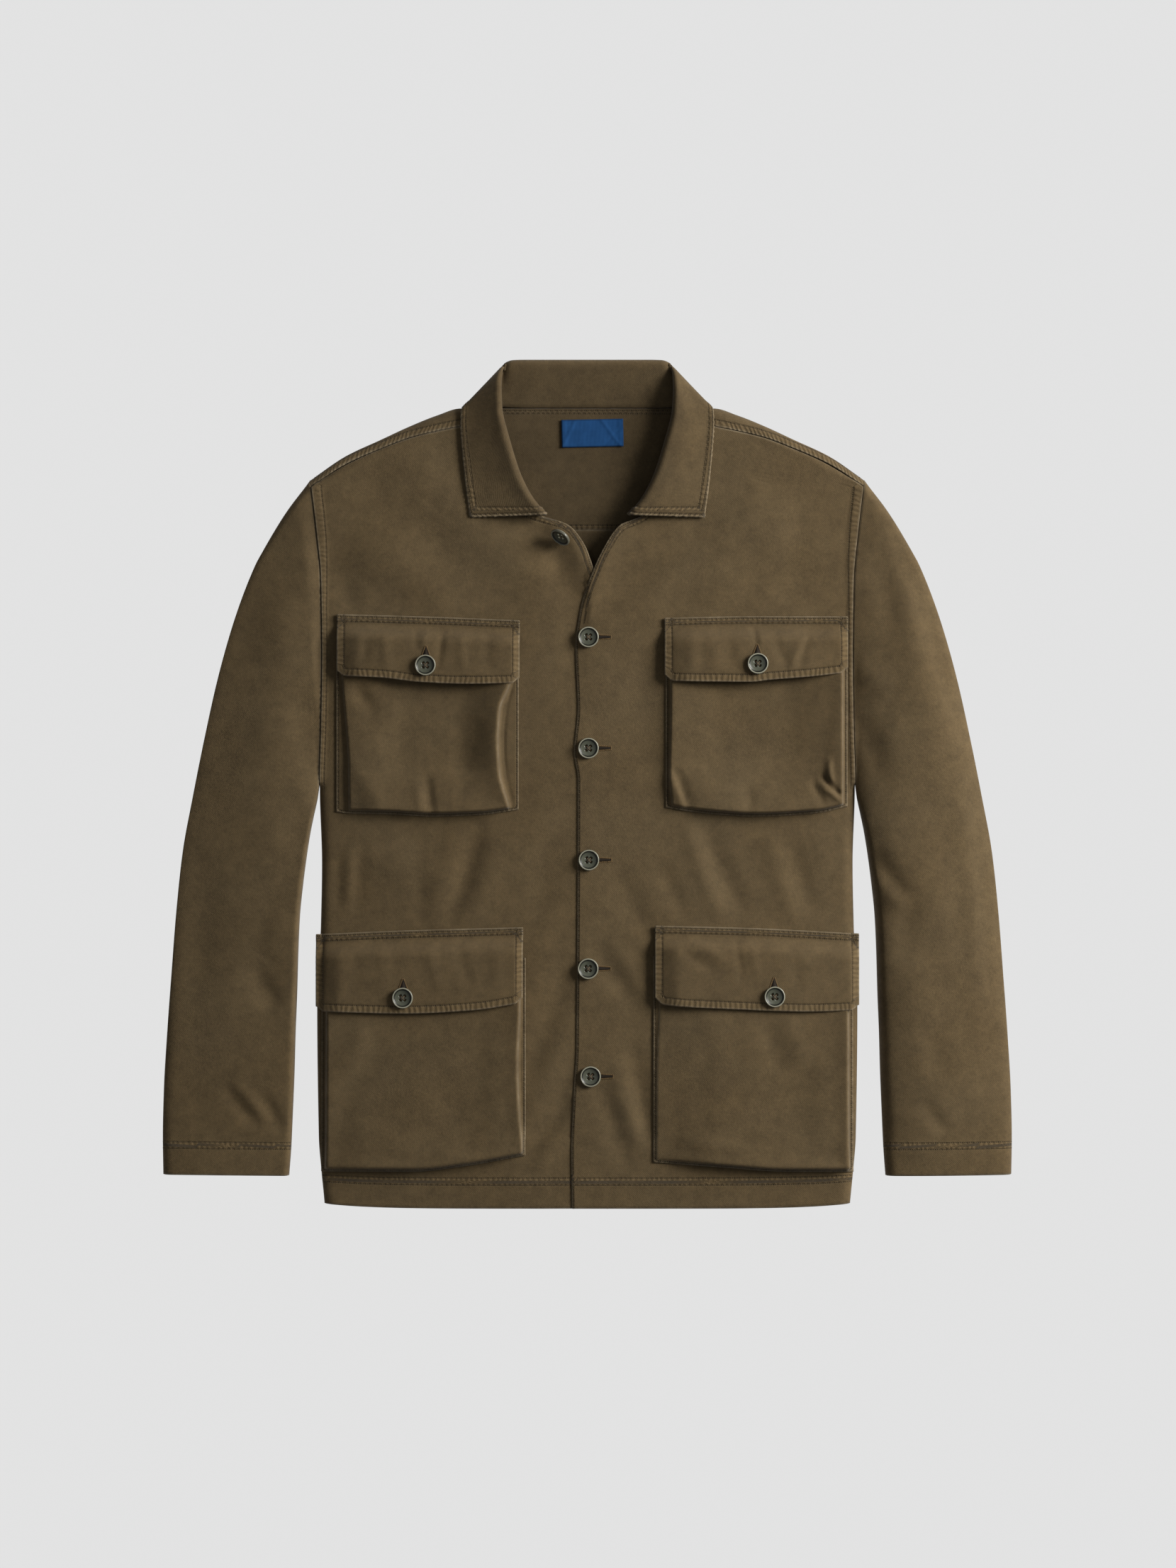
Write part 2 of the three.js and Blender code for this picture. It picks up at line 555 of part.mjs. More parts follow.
// Collar, stand and leaf in one, as a strip round the neck
function collar() {
  const section = (i, side) => {
    const { turn } = COLLAR_ROLL[i];
    const { over } = COLLAR_EDGE[i];
    const [neck, roll, edge] = [COLLAR_NECK[i], COLLAR_ROLL[i], COLLAR_EDGE[i]].map(
      (row) => new THREE.Vector3(row.x, row.y, row.z ?? COLLAR_UNDER_Z),
    );
    const toNeck = neck.clone().sub(roll).setZ(0).normalize();
    const toEdge = edge.clone().sub(roll).setZ(0).normalize();
    const lift = ROLL_RADIUS * Math.sin(degToRad(turn));
    const arc = [0, 45, 90, 135, 180].map((angle) => {
      const round = degToRad(angle);
      const way = toNeck.clone().lerp(toEdge, angle / 180).normalize();
      const point = roll.clone().addScaledVector(way, ROLL_RADIUS * (1 - Math.sin(round)));
      return point.setZ(roll.z + lift * Math.cos(round));
    });
    const stand = [neck, neck.clone().lerp(arc[0], 0.5)];
    const leafStart = arc[4];
    const leaf = LEAF_STOPS.map((share) => {
      const point = leafStart.clone().lerp(edge, share);
      const cloth = crown(point.x, Math.min(point.y, NECK_SEAM_Y)) + drape(point.x, point.y);
      const rest = lerp(COLLAR_UNDER_Z, cloth + LIE_GAP + DOUBLE_CLOTH / 2, over);
      return point.setZ(lerp(rest, leafStart.z, (1 - share) ** 2));
    });
    const path = [...stand, ...arc, ...leaf];
    for (const point of path) point.x *= side;
    return path;
  };
  const half = COLLAR_NECK.map((_, i) => i);
  const points = [...half.slice(1).reverse().map((i) => section(i, -1)), ...half.map((i) => section(i, 1))];
  const normals = points.map((row, j) =>
    row.map((_, i) => {
      const rowBefore = points[Math.max(0, j - 1)];
      const rowAfter = points[Math.min(points.length - 1, j + 1)];
      const across = rowAfter[i].clone().sub(rowBefore[i]);
      const along = row[Math.min(row.length - 1, i + 1)].clone().sub(row[Math.max(0, i - 1)]);
      return across.cross(along).normalize();
    }),
  );
  return named("collar", slab(points, normals, -DOUBLE_CLOTH / 2, DOUBLE_CLOTH / 2), clothLook);
}

// Point of the front's upper face, moved out along its normal
function onFront(x, y, lift) {
  const slopeX = (frontHeight(x + STEP, y) - frontHeight(x - STEP, y)) / (2 * STEP);
  const slopeY = (frontHeight(x, y + STEP) - frontHeight(x, y - STEP)) / (2 * STEP);
  const normal = new THREE.Vector3(-slopeX, -slopeY, 1).normalize();
  return new THREE.Vector3(x, y, frontHeight(x, y)).addScaledVector(normal, lift);
}

// Places across a width, near both ends and evenly between them
function across(width, near, between) {
  const inner = near[near.length - 1];
  const middle = [];
  for (let i = 1; i < between; i += 1) middle.push(lerp(inner, width - inner, i / between));
  return [...near, ...middle, ...near.map((place) => width - place).reverse()];
}

function pocketLift(pocket, x, y) {
  const sides = Math.min(x - pocket.left, pocket.right - x);
  const bottom = y - pocket.bottom;
  const face = smoothstep(sides, GUSSET_START, GUSSET_END) * smoothstep(bottom, BOTTOM_START, BOTTOM_END);
  return LIE_GAP + CLOTH + POCKET_RISE * face;
}
function pocketBody(pocket) {
  const width = pocket.right - pocket.left;
  const height = pocket.flapTop - MOUTH_DROP - pocket.bottom;
  const us = across(width, [0, GUSSET_START, 5.75, 7.5, 9.25, GUSSET_END], 4);
  const vs = [0, BOTTOM_START, 2.5, 4, 5.5, BOTTOM_END, 0.28 * height, 0.52 * height, 0.76 * height, height];
  const surface = (u, v) => {
    const x = pocket.left + u;
    const y = pocket.bottom + v;
    return onFront(x, y, pocketLift(pocket, x, y));
  };
  return named(pocket.name, wall(surface, us, vs, 1), clothLook);
}
function flapLift(u, v, width) {
  const ends = smoothstep(Math.min(u, width - u), 0, 7);
  const over = smoothstep(v, FLAP_BAND, MOUTH_DROP - 2) * lerp(FLAP_END_DROOP, 1, ends);
  return LIE_GAP + DOUBLE_CLOTH + (CLOTH + POCKET_RISE + LIE_GAP) * over;
}
function flap(pocket) {
  const width = pocket.flapRight - pocket.flapLeft;
  const height = pocket.flapTop - pocket.flapBottom;
  const us = across(width, [0, 3, 6, 9, FLAP_CORNER], 5);
  const vs = [0, FLAP_BAND, 12, 17, MOUTH_DROP - 2, 0.6 * height, 0.8 * height, height];
  const surface = (u, v) => {
    const x = pocket.flapLeft + u;
    const corner = 1 - smoothstep(Math.min(u, width - u), 0, FLAP_CORNER);
    const y = pocket.flapTop - v + FLAP_CORNER_LIFT * corner * smoothstep(v / height, 0.7, 1);
    const inside = Math.sign(x) * Math.min(Math.abs(x), halfWidth(y) - 3);
    return new THREE.Vector3(x, y, frontHeight(inside, y) + flapLift(u, v, width));
  };
  return named(pocket.name + "_flap", wall(surface, us, vs, -1, DOUBLE_CLOTH), clothLook);
}

// Button standing on the cloth at a place, with its back on the cloth
const buttonShape = new THREE.LatheGeometry(
  BUTTON_PROFILE.map((row) => new THREE.Vector2(row.radius, row.height)),
  BUTTON_SIDES,
).rotateX(QUARTER_TURN);
function button(name, x, y, lift) {
  const foot = onFront(x, y, lift);
  const up = onFront(x, y, lift + 1).sub(foot);
  const mesh = named(name, buttonShape, buttonLook);
  mesh.position.copy(foot);
  mesh.quaternion.setFromUnitVectors(new THREE.Vector3(0, 0, 1), up);
  return mesh;
}
function neckButton() {
  const tilt = degToRad(NECK_BUTTON.tilt);
  const below = (row) => row.radius * Math.sin(tilt) - row.height * Math.cos(tilt);
  const lean = Math.max(...BUTTON_PROFILE.map(below));
  const lift = lean + LIE_GAP - lapDip(-NECK_BUTTON.x);
  const mesh = button("neck_button", NECK_BUTTON.x, NECK_BUTTON.y, lift);
  const turn = degToRad(NECK_BUTTON.turn);
  const axis = new THREE.Vector3(Math.cos(turn), Math.sin(turn), 0);
  mesh.quaternion.premultiply(new THREE.Quaternion().setFromAxisAngle(axis, tilt));
  return mesh;
}

function neckLabel() {
  const turn = degToRad(LABEL.turn);
  const surface = (u, v) => {
    const place = new THREE.Vector2(u, v).rotateAround(new THREE.Vector2(), turn);
    const x = LABEL.x + place.x;
    const y = LABEL.y + place.y;
    return new THREE.Vector3(x, y, yokeRamp(y) + CLOTH + LIE_GAP + LABEL.thickness);
  };
  const us = [-0.5, 0, 0.5].map((share) => share * LABEL.width);
  const vs = [-0.5, -0.3, -0.15, 0, 0.15, 0.3, 0.5].map((share) => share * LABEL.height);
  return named("neck_label", wall(surface, us, vs, 1, LABEL.thickness), labelLook);
}

const jacket = new THREE.Group();
jacket.add(back(), yoke(), collar(), neckLabel());
jacket.add(front("front_left", 1, OVER_EDGE, 0), front("front_right", -1, UNDER_EDGE, 1));
for (const [name, side] of [["sleeve_left", 1], ["sleeve_right", -1]]) {
  jacket.add(sleevePiece(name + "_top", side, TOP_STOPS));
  jacket.add(sleevePiece(name + "_under", side, UNDER_STOPS));
}
for (const pocket of POCKETS) {
  const onFlap = LIE_GAP + DOUBLE_CLOTH + CLOTH + POCKET_RISE + 2 * LIE_GAP;
  jacket.add(pocketBody(pocket), flap(pocket));
  jacket.add(button(pocket.name + "_button", pocket.buttonX, pocket.buttonY, onFlap));
}
FRONT_BUTTONS.forEach((place, i) => jacket.add(button("front_button_" + (i + 1), place.x, place.y, LIE_GAP)));
jacket.add(neckButton());

export default jacket;
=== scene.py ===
"""A four-pocket field jacket, buttoned up and laid flat on its back.

Sizes and places are in millimetres and become metres when a mesh is made. X runs across the chest,
Y from the hem to the collar, Z up from the surface that the jacket lies on. The wearer's left side is
the +X side.
"""

import math

import bmesh
import bpy
import numpy as np
from mathutils import Matrix, Vector


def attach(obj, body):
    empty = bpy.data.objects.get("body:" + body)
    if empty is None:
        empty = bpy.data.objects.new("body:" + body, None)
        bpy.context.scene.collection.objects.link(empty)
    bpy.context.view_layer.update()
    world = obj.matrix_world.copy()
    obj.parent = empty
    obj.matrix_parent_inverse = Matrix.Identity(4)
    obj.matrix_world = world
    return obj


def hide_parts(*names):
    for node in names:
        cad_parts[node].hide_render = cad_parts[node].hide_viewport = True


MM = 0.001

# Cloth: its thickness on each kind of piece, and the gaps between pieces
CLOTH = 2.0
DOUBLE_CLOTH = 2.4
FRONT_CLOTH = 0.8
LAP_GAP = 0.2
POCKET_CLOTH = 1.0
FLAP_CLOTH = 1.4
SEAM_GAP = 0.35
LIE_GAP = 0.5

# Body, as a flat tube with rounded folds at its sides
LENGTH = 791
HEM_Y = -LENGTH / 2
FOLD_REACH = 10
FOLD_MIDDLE = 6
FOLD_TOP = 12
SIDE_SEAM = 0.03
UNDERARM_Y = -4
YOKE_SEAM_Y = 237
NECK_SEAM_Y = 349.6
NECK_HALF = 84
NECK_CLIMB = 12
HEM_CORNER_LIFT = 4.5
LAP_FULL = 17
LAP_START = 50
FRONT_TOP_Y = 334.5
FRONT_LEAST = 6
NARROW_FROM_Y = 275
NARROW_TO_Y = 295
YOKE_OVER_COLLAR = 2.9
YOKE_FLAT_GAP = 4
YOKE_WIDE_FROM = 0.84
YOKE_RAMP_FROM = 300
YOKE_RAMP_TO = 330
SHOULDER_FROM = 97
SHOULDER_TO = 257
SHOULDER_END = 260
ARMHOLE_TOP_Y = 276
SLEEVE_TOP_Y = 283
NECK_LINE_FROM = 150
FRONT_EDGE_TO = 246
HEM_CORNER_REACH = 60
HEM_CORNER_SHAPE = 6
LEAF_END = (119, 135)
CUFF_Y = -365.0
CUFF_SLANT = 1.0
CUFF_INNER_X = 278
CUFF_OUTER_X = 396

# Sewing
HEM_ROWS = (21.8, 28.4)
CUFF_ROWS = (24.4, 30.4)
EDGE_ROW = 1.3
NECK_ROW = 5.4
FLAP_BAND_ROWS = (1.6, 6.3)
FLAP_ROW = 6.5
COLLAR_ROW = 6.5
COLLAR_END_ROW = 8.8
GUSSET_ROW = 1.6
SHOULDER_ROW = 5.8
PUCKER_PITCH = 4.8
PUCKER_FROM = (-1.5, 0.6)
PUCKER_TO = (5.5, 8)
PUCKER_HEIGHT = 0.3
GROOVE_DEPTH = 0.25
GROOVE_HALF = 0.9
HEM_BAND_RISE = 0.7
STRIP_RISE = 1.0
STRIP_SOFT = (-1.2, 0.8)
STRIP_FADE = (-14, 20)

# How strongly the cloth has roped at each row of a piece, in the order of its rows
BACK_ROPE = 0.4
FRONT_ROPES = (0.7, 0.7, 0.25, 1.2, 0.7)
FLAP_ROPES = (0.5, 0.5, 1.1)
GUSSET_ROPE = 0.5
FACE_ROPE = 0.6

# More rows, the stitches, and how far a thread lies off the cloth
YOKE_SEAM_ROW = 4.2
NECK_SEAM_ROWS = (1.5, 4.5)
COLLAR_RIM_ROW = 1.6
STITCH_PITCH = 2.1
STITCH_LENGTH = 1.5
STITCH_WIDTH = 0.5
THREAD_LIFT = 0.12
THREAD_SUNK = -0.3

# What a mark reads where no row or edge is near
FAR = 30.0

# Fineness of the meshes, as steps in each piece's own measure
FRONT_STEPS = (0.16, 0.0118, 2.9)
BACK_STEPS = (0.2, 0.0125, 3.2)
YOKE_STEPS = (3.4, 1.5, 3.2, 0.032, 0.018)
SLEEVE_STEPS = (0.16, 0.03, 0.1, 0.075)
COLLAR_STEPS = (0.12, 0.08, 0.07)
POCKET_STEPS = (1.1, 2.6, 0.009, 0.018)
FLAP_STEPS = (1.2, 2.3, 0.02, 0.033, 0.018)

# How far the finer steps go
YOKE_FINE = (82, 100)
POCKET_FINE = (22, 24, 0.12)
FLAP_FINE = (12, 0.16, 0.86)


def columns(names, *rows):
    """A table as one array of numbers for each named column."""
    return dict(zip(names.split(), np.array(rows, float).T))


BODY_SIDE = columns(
    "y half",
    (-396, 245), (-357, 248.5), (-328, 250.5), (-204, 252), (-131, 248.5), (-74, 247.5),
    (-4, 249.5), (52, 248), (120, 247), (190, 248), (234, 252), (284, 258),
)
BODY_CROWN = columns(
    "y rise",
    (-396, 3), (-300, 6), (-150, 6.8), (20, 6.8), (160, 6.6), (250, 4), (350, 1.5),
)
SHOULDER = columns(
    "x fold seam",
    (78, 347.5, 343), (100, 349.5, 338), (118, 350, 333), (140, 343.5, 328.5),
    (165, 333.5, 322.5), (192, 321, 312.5), (226, 305, 297.5), (258, 283, 277),
)
OVER_EDGE = columns(
    "y inset",
    (-396, -14.2), (-345, -14.9), (-280, -12.2), (-247, -10.2), (4, -8.9), (29, -12.2), (70, -8.9),
    (126, -10.9), (163, -6.3), (200, 6.3), (223, 17.5), (241, 31), (248, 48), (254, 56), (268, 68),
    (288, 79), (312, 88), (341, 97),
)
UNDER_EDGE = columns(
    "y inset",
    (-396, -20), (150, -20), (180, -14.5), (202, -5), (217, 0), (237, 13), (243, 22), (248.5, 42),
    (254, 56), (268, 68), (288, 79), (312, 88), (341, 97),
)
SLEEVE = columns(
    "at inner_x inner_y outer_x outer_y rise",
    (0, 249.5, -4, 258, 283, 0),
    (1, 251.5, -14, 283.5, 252, 2.5),
    (2, 254.5, -28, 308.5, 206.5, 5),
    (3, 258, -45, 328, 156.5, 7),
    (4, 261.5, -67, 344.5, 99, 8),
    (5, 265, -94, 357, 43, 8.5),
    (6, 268, -124, 368, -12, 8.5),
    (7, 269.5, -158, 377.5, -64, 8.5),
    (8, 270.5, -194, 383.5, -120, 8),
    (9, 272, -232, 388, -178, 8),
    (10, 273, -268, 392, -233, 7),
    (11, 274.5, -305, 395, -285, 6),
    (12, 276, -338, 396, -328, 5),
    (13, 278, -365, 395.5, -364, 4),
)
SLEEVE_ROUND = {1: 1.4, -1: 0.3}
SLEEVE_SKEW = {1: 0.85, -1: 1.0}
SLEEVE_TILT = {1: 3.8, -1: 5.2}
SLEEVE_INNER_REACH = {1: 10, -1: 5}
TILT_FROM = (0, 3)
TILT_TO = (7, 13)
TILT_LOSS = 0.8
ARMHOLE_FADE = 2
ARMHOLE_GAP = 0.6

# Folds: soft ridges (rise above 0) and troughs, each a bent line with a reach on its left and its right
FINE_FOLDS = 0.9
FOLD_SPREAD = 2.6
FOLD_ENDS = 0.6
UNDER_FOLDS = 0.45
FOLD_COLUMNS = "from_x from_y by_x by_y to_x to_y left right rise"
LARGE_FOLDS = columns(
    FOLD_COLUMNS,
    (-150, 262, -177, 226, -205, 190, 24, 24, 2.2),
    (150, 275, 177, 237, 205, 200, 26, 26, 2.5),
    (-225, -60, -172, -78, -120, -95, 20, 20, 1.8),
    (215, -65, 162, -80, 110, -95, 20, 20, -1.8),
    (-262, 215, -290, 80, -325, -60, 22, 24, 1.6),
    (285, 200, 318, 70, 352, -60, 22, 22, 3.5),
    (-290, -60, -295, -155, -300, -250, 20, 20, -2),
    (300, -110, 328, -185, 355, -260, 20, 20, -2),
)
FRONT_RIGHT_FOLDS = columns(
    FOLD_COLUMNS,
    (-222, 300, -167, 248, -62, 156, 20, 26, -2.4),
    (-177, 306, -124, 254, -35, 190, 22, 26, 1.9),
    (-222, 236, -177, 205, -124, 160, 18, 16, 1.5),
    (-240, 214, -227, 182, -215, 158, 12, 12, -1.4),
    (-230, -70, -231, -95, -233, -118, 7, 9, -1.5),
    (-221, -52, -222, -90, -224, -124, 7, 7, 1.1),
    (-210, -52, -213, -90, -215, -128, 8, 8, -1.2),
    (-161, -40, -157, -89, -151, -134, 9, 9, -1.1),
    (-118, -33, -124, -79, -150, -128, 12, 12, 1.6),
    (-101, -33, -106, -82, -134, -134, 9, 12, -2.4),
    (-83, -40, -91, -89, -113, -134, 12, 12, 1.5),
    (-35, -46, -42, -89, -47, -128, 12, 12, -1.5),
    (-12, -160, -37, -221, -54, -282, 12, 16, -2.2),
    (-14, -212, -33, -256, -52, -306, 12, 12, 1.9),
    (-14, -292, -33, -314, -58, -350, 7, 12, -2.8),
    (-16, -330, -32, -342, -52, -357, 8, 9, 1.5),
    (-60, -20, -52, 60, -60, 130, 22, 22, -1.2),
    (-56, 253, -14, 244, 4, 196, 9, 12, 4.5),
    (-52, 232, -26, 212, -14, 168, 12, 14, -2.6),
    (-8, 186, -13, 150, -13, 96, 10, 12, -1.5),
)
FRONT_LEFT_FOLDS = columns(
    FOLD_COLUMNS,
    (120, 250, 67, 208, 5, 166, 16, 16, -2.0),
    (108, 222, 60, 182, 12, 146, 14, 14, 1.5),
    (200, 246, 196, 208, 180, 168, 16, 18, -1.8),
    (162, 282, 133, 221, 104, 166, 20, 22, 1.9),
    (64, -66, 77, -99, 95, -130, 9, 10, -1.8),
    (106, -34, 123, -82, 148, -126, 10, 9, -2.3),
    (90, -34, 107, -82, 125, -130, 9, 9, 1.7),
    (190, -50, 196, -89, 214, -126, 9, 11, -1.9),
    (167, -44, 179, -89, 194, -130, 10, 10, 1.6),
    (20, -75, 41, -112, 60, -148, 12, 12, -1.9),
    (4, -148, 27, -181, 52, -214, 12, 12, -1.9),
    (20, -142, 37, -172, 56, -204, 9, 9, 1.3),
    (22, -250, 37, -300, 52, -348, 9, 11, 2.2),
    (42, -236, 50, -293, 57, -336, 8, 9, -1.9),
    (12, -278, 24, -320, 39, -360, 9, 9, -1.7),
    (52, -10, 46, 60, 52, 120, 20, 20, -1.1),
    (30, 246, 8, 214, -9, 140, 14, 12, 2.6),
)
SLEEVE_RIGHT_FOLDS = columns(
    FOLD_COLUMNS,
    (-250, 268, -251, 180, -252, 70, 5, 28, 3.4),
    (-257, 196, -258, 165, -266, 130, 14, 20, -1.4),
    (-281, 176, -286, 149, -291, 108, 16, 16, 1.6),
    (-266, 90, -262, 37, -260, -12, 10, 12, -1.1),
    (-288, 76, -288, -39, -302, -132, 16, 18, 1.1),
    (-301, -158, -289, -142, -280, -120, 12, 14, 2.0),
    (-314, -166, -301, -194, -288, -212, 10, 13, -2.5),
    (-341, -278, -322, -303, -304, -320, 6, 7, -1.7),
    (-330, -276, -312, -298, -296, -314, 6, 6, 1.1),
    (-305, -286, -293, -308, -282, -324, 6, 7, -1.8),
    (-352, -60, -362, -150, -368, -240, 16, 14, -1.6),
)
SLEEVE_LEFT_FOLDS = columns(
    FOLD_COLUMNS,
    (262, 268, 309, 140, 346, 20, 9, 14, 2.2),
    (343, 52, 360, -100, 366, -216, 9, 12, 2.2),
    (272, 224, 282, 182, 284, 140, 16, 12, -2.0),
    (249, 112, 265, 96, 284, 84, 12, 12, 1.9),
    (256, 62, 268, 30, 279, -14, 14, 11, -2.4),
    (264, -58, 278, -86, 296, -102, 8, 10, -2.5),
    (267, -82, 280, -105, 299, -120, 8, 8, 1.6),
    (300, -96, 296, -128, 294, -166, 12, 12, -2.1),
    (316, -222, 324, -247, 331, -276, 12, 12, -2.1),
    (311, -292, 323, -313, 336, -326, 7, 8, -1.7),
    (270, -272, 275, -300, 281, -334, 6, 6, -1.4),
)
BACK_FOLDS = columns(
    FOLD_COLUMNS,
    (-190, 215, -120, 120, -90, 10, 22, 22, 0.9),
    (200, 200, 140, 110, 110, 20, 22, 22, 0.9),
    (-230, -60, -150, -95, -60, -100, 14, 16, 1.0),
    (225, -70, 160, -90, 80, -120, 14, 14, 1.0),
    (-20, 180, -10, 40, -14, -120, 26, 26, 0.7),
    (-120, -180, -100, -260, -110, -340, 14, 14, 0.8),
    (130, -190, 120, -270, 126, -350, 14, 14, 0.8),
)

# Collar, from the centre of the back to the front end, at its neck seam, roll line and outer edge
COLLAR_NECK = columns(
    "at x y z",
    (0, 0, 350.9, 3.9), (1, 30, 350.9, 3.9), (2, 54, 350.9, 3.9), (3, 66, 351.2, 4),
    (4, 74, 351.6, 4.4), (5, 82, 352, 5.4), (6, 88.5, 352, 7.6), (7, 93.5, 350.5, 11.6),
    (8, 95.5, 346, 14.6), (9, 92.4, 337.5, 14.4), (10, 86, 312, 13), (11, 77, 288, 12.5),
    (12, 66, 268.5, 12.5), (13, 54, 254.5, 12.8),
)
COLLAR_ROLL = columns(
    "at x y z turn",
    (0, 0, 394.3, 5.7, 90), (1, 32, 394.3, 5.7, 90), (2, 58, 394.3, 5.7, 90), (3, 69, 394, 5.7, 80),
    (4, 74, 392.6, 5.9, 45), (5, 77, 390.6, 6.4, 0), (6, 79, 387, 8.5, -45), (7, 80.5, 380, 10.5, -80),
    (8, 80.8, 368, 12, -90), (9, 80, 349, 12.3, -90), (10, 72, 316, 12.5, -90),
    (11, 62, 285.5, 12.6, -90), (12, 50.5, 264, 12.8, -90), (13, 38.5, 250.2, 13, -90),
)
COLLAR_EDGE = columns(
    "at x y over",
    (0, 0, 334, 0), (1, 34, 334, 0), (2, 68, 336, 0), (3, 94, 341, 0), (4, 108, 347.5, 0.12),
    (5, 112.8, 351.4, 0.5), (6, 115.6, 349.5, 0.88), (7, 117.3, 343, 1), (8, 117.5, 333, 1),
    (9, 116.5, 316, 1), (10, 114.5, 294, 1), (11, 112.5, 275, 1), (12, 110.5, 260, 1), (13, 109, 248, 1),
)
ROLL_RADIUS = 4.4
ROLL_STAND = {1: 6.5, -1: 10.5}
COLLAR_UNDER_Z = 1.3
ROLL_STAND_FADE = (4.5, 9)
LEAF_START = 26
LEAF_BEND = 1.3
EDGE_SWELL = 0.5
EDGE_SWELL_FROM = -9
# Painted shade on the collar stand's inner face, as a share of the inside mark, fading out between two
# distances up the cloth
INSIDE_SHADE = 0.6
INSIDE_FADE = (34, 46)

# Pockets: how far the bellows lifts the face, and how the flap lies over the mouth
POCKET_RISE = 8.5
SAG_REACH_LEFT = 54
POCKET_EDGE = 1.6
MOUTH_DROP = 25
FLAP_BAND = 7.2
FLAP_LEFT_DROOP = 0.5
FLAP_RIGHT_DROOP = 0.62
FLAP_CORNER = 9
FLAP_CORNER_LIFT = 4.5
FLAP_FOLDS = 0.58
FACE_ROUNDING = 2.3
FACE_SOFT = -1.5
FACE_RIM = 0.5
BODY_FOLD_X = 240
POCKET_PAST_FOLD = 4
LOW_REACH_INNER = 60
LOW_REACH_OUTER = 45
POCKET_EDGE_REACH = 10
SAG_FROM_BOTTOM = (4, 60)
FOLDS_PAST_EDGE = (-9, 2)
FLAP_FOLDS_FROM = 14
FLAP_LEFT_REACH = 24
FLAP_RIGHT_REACH = 7
FLAP_FROM_SIDE = 3

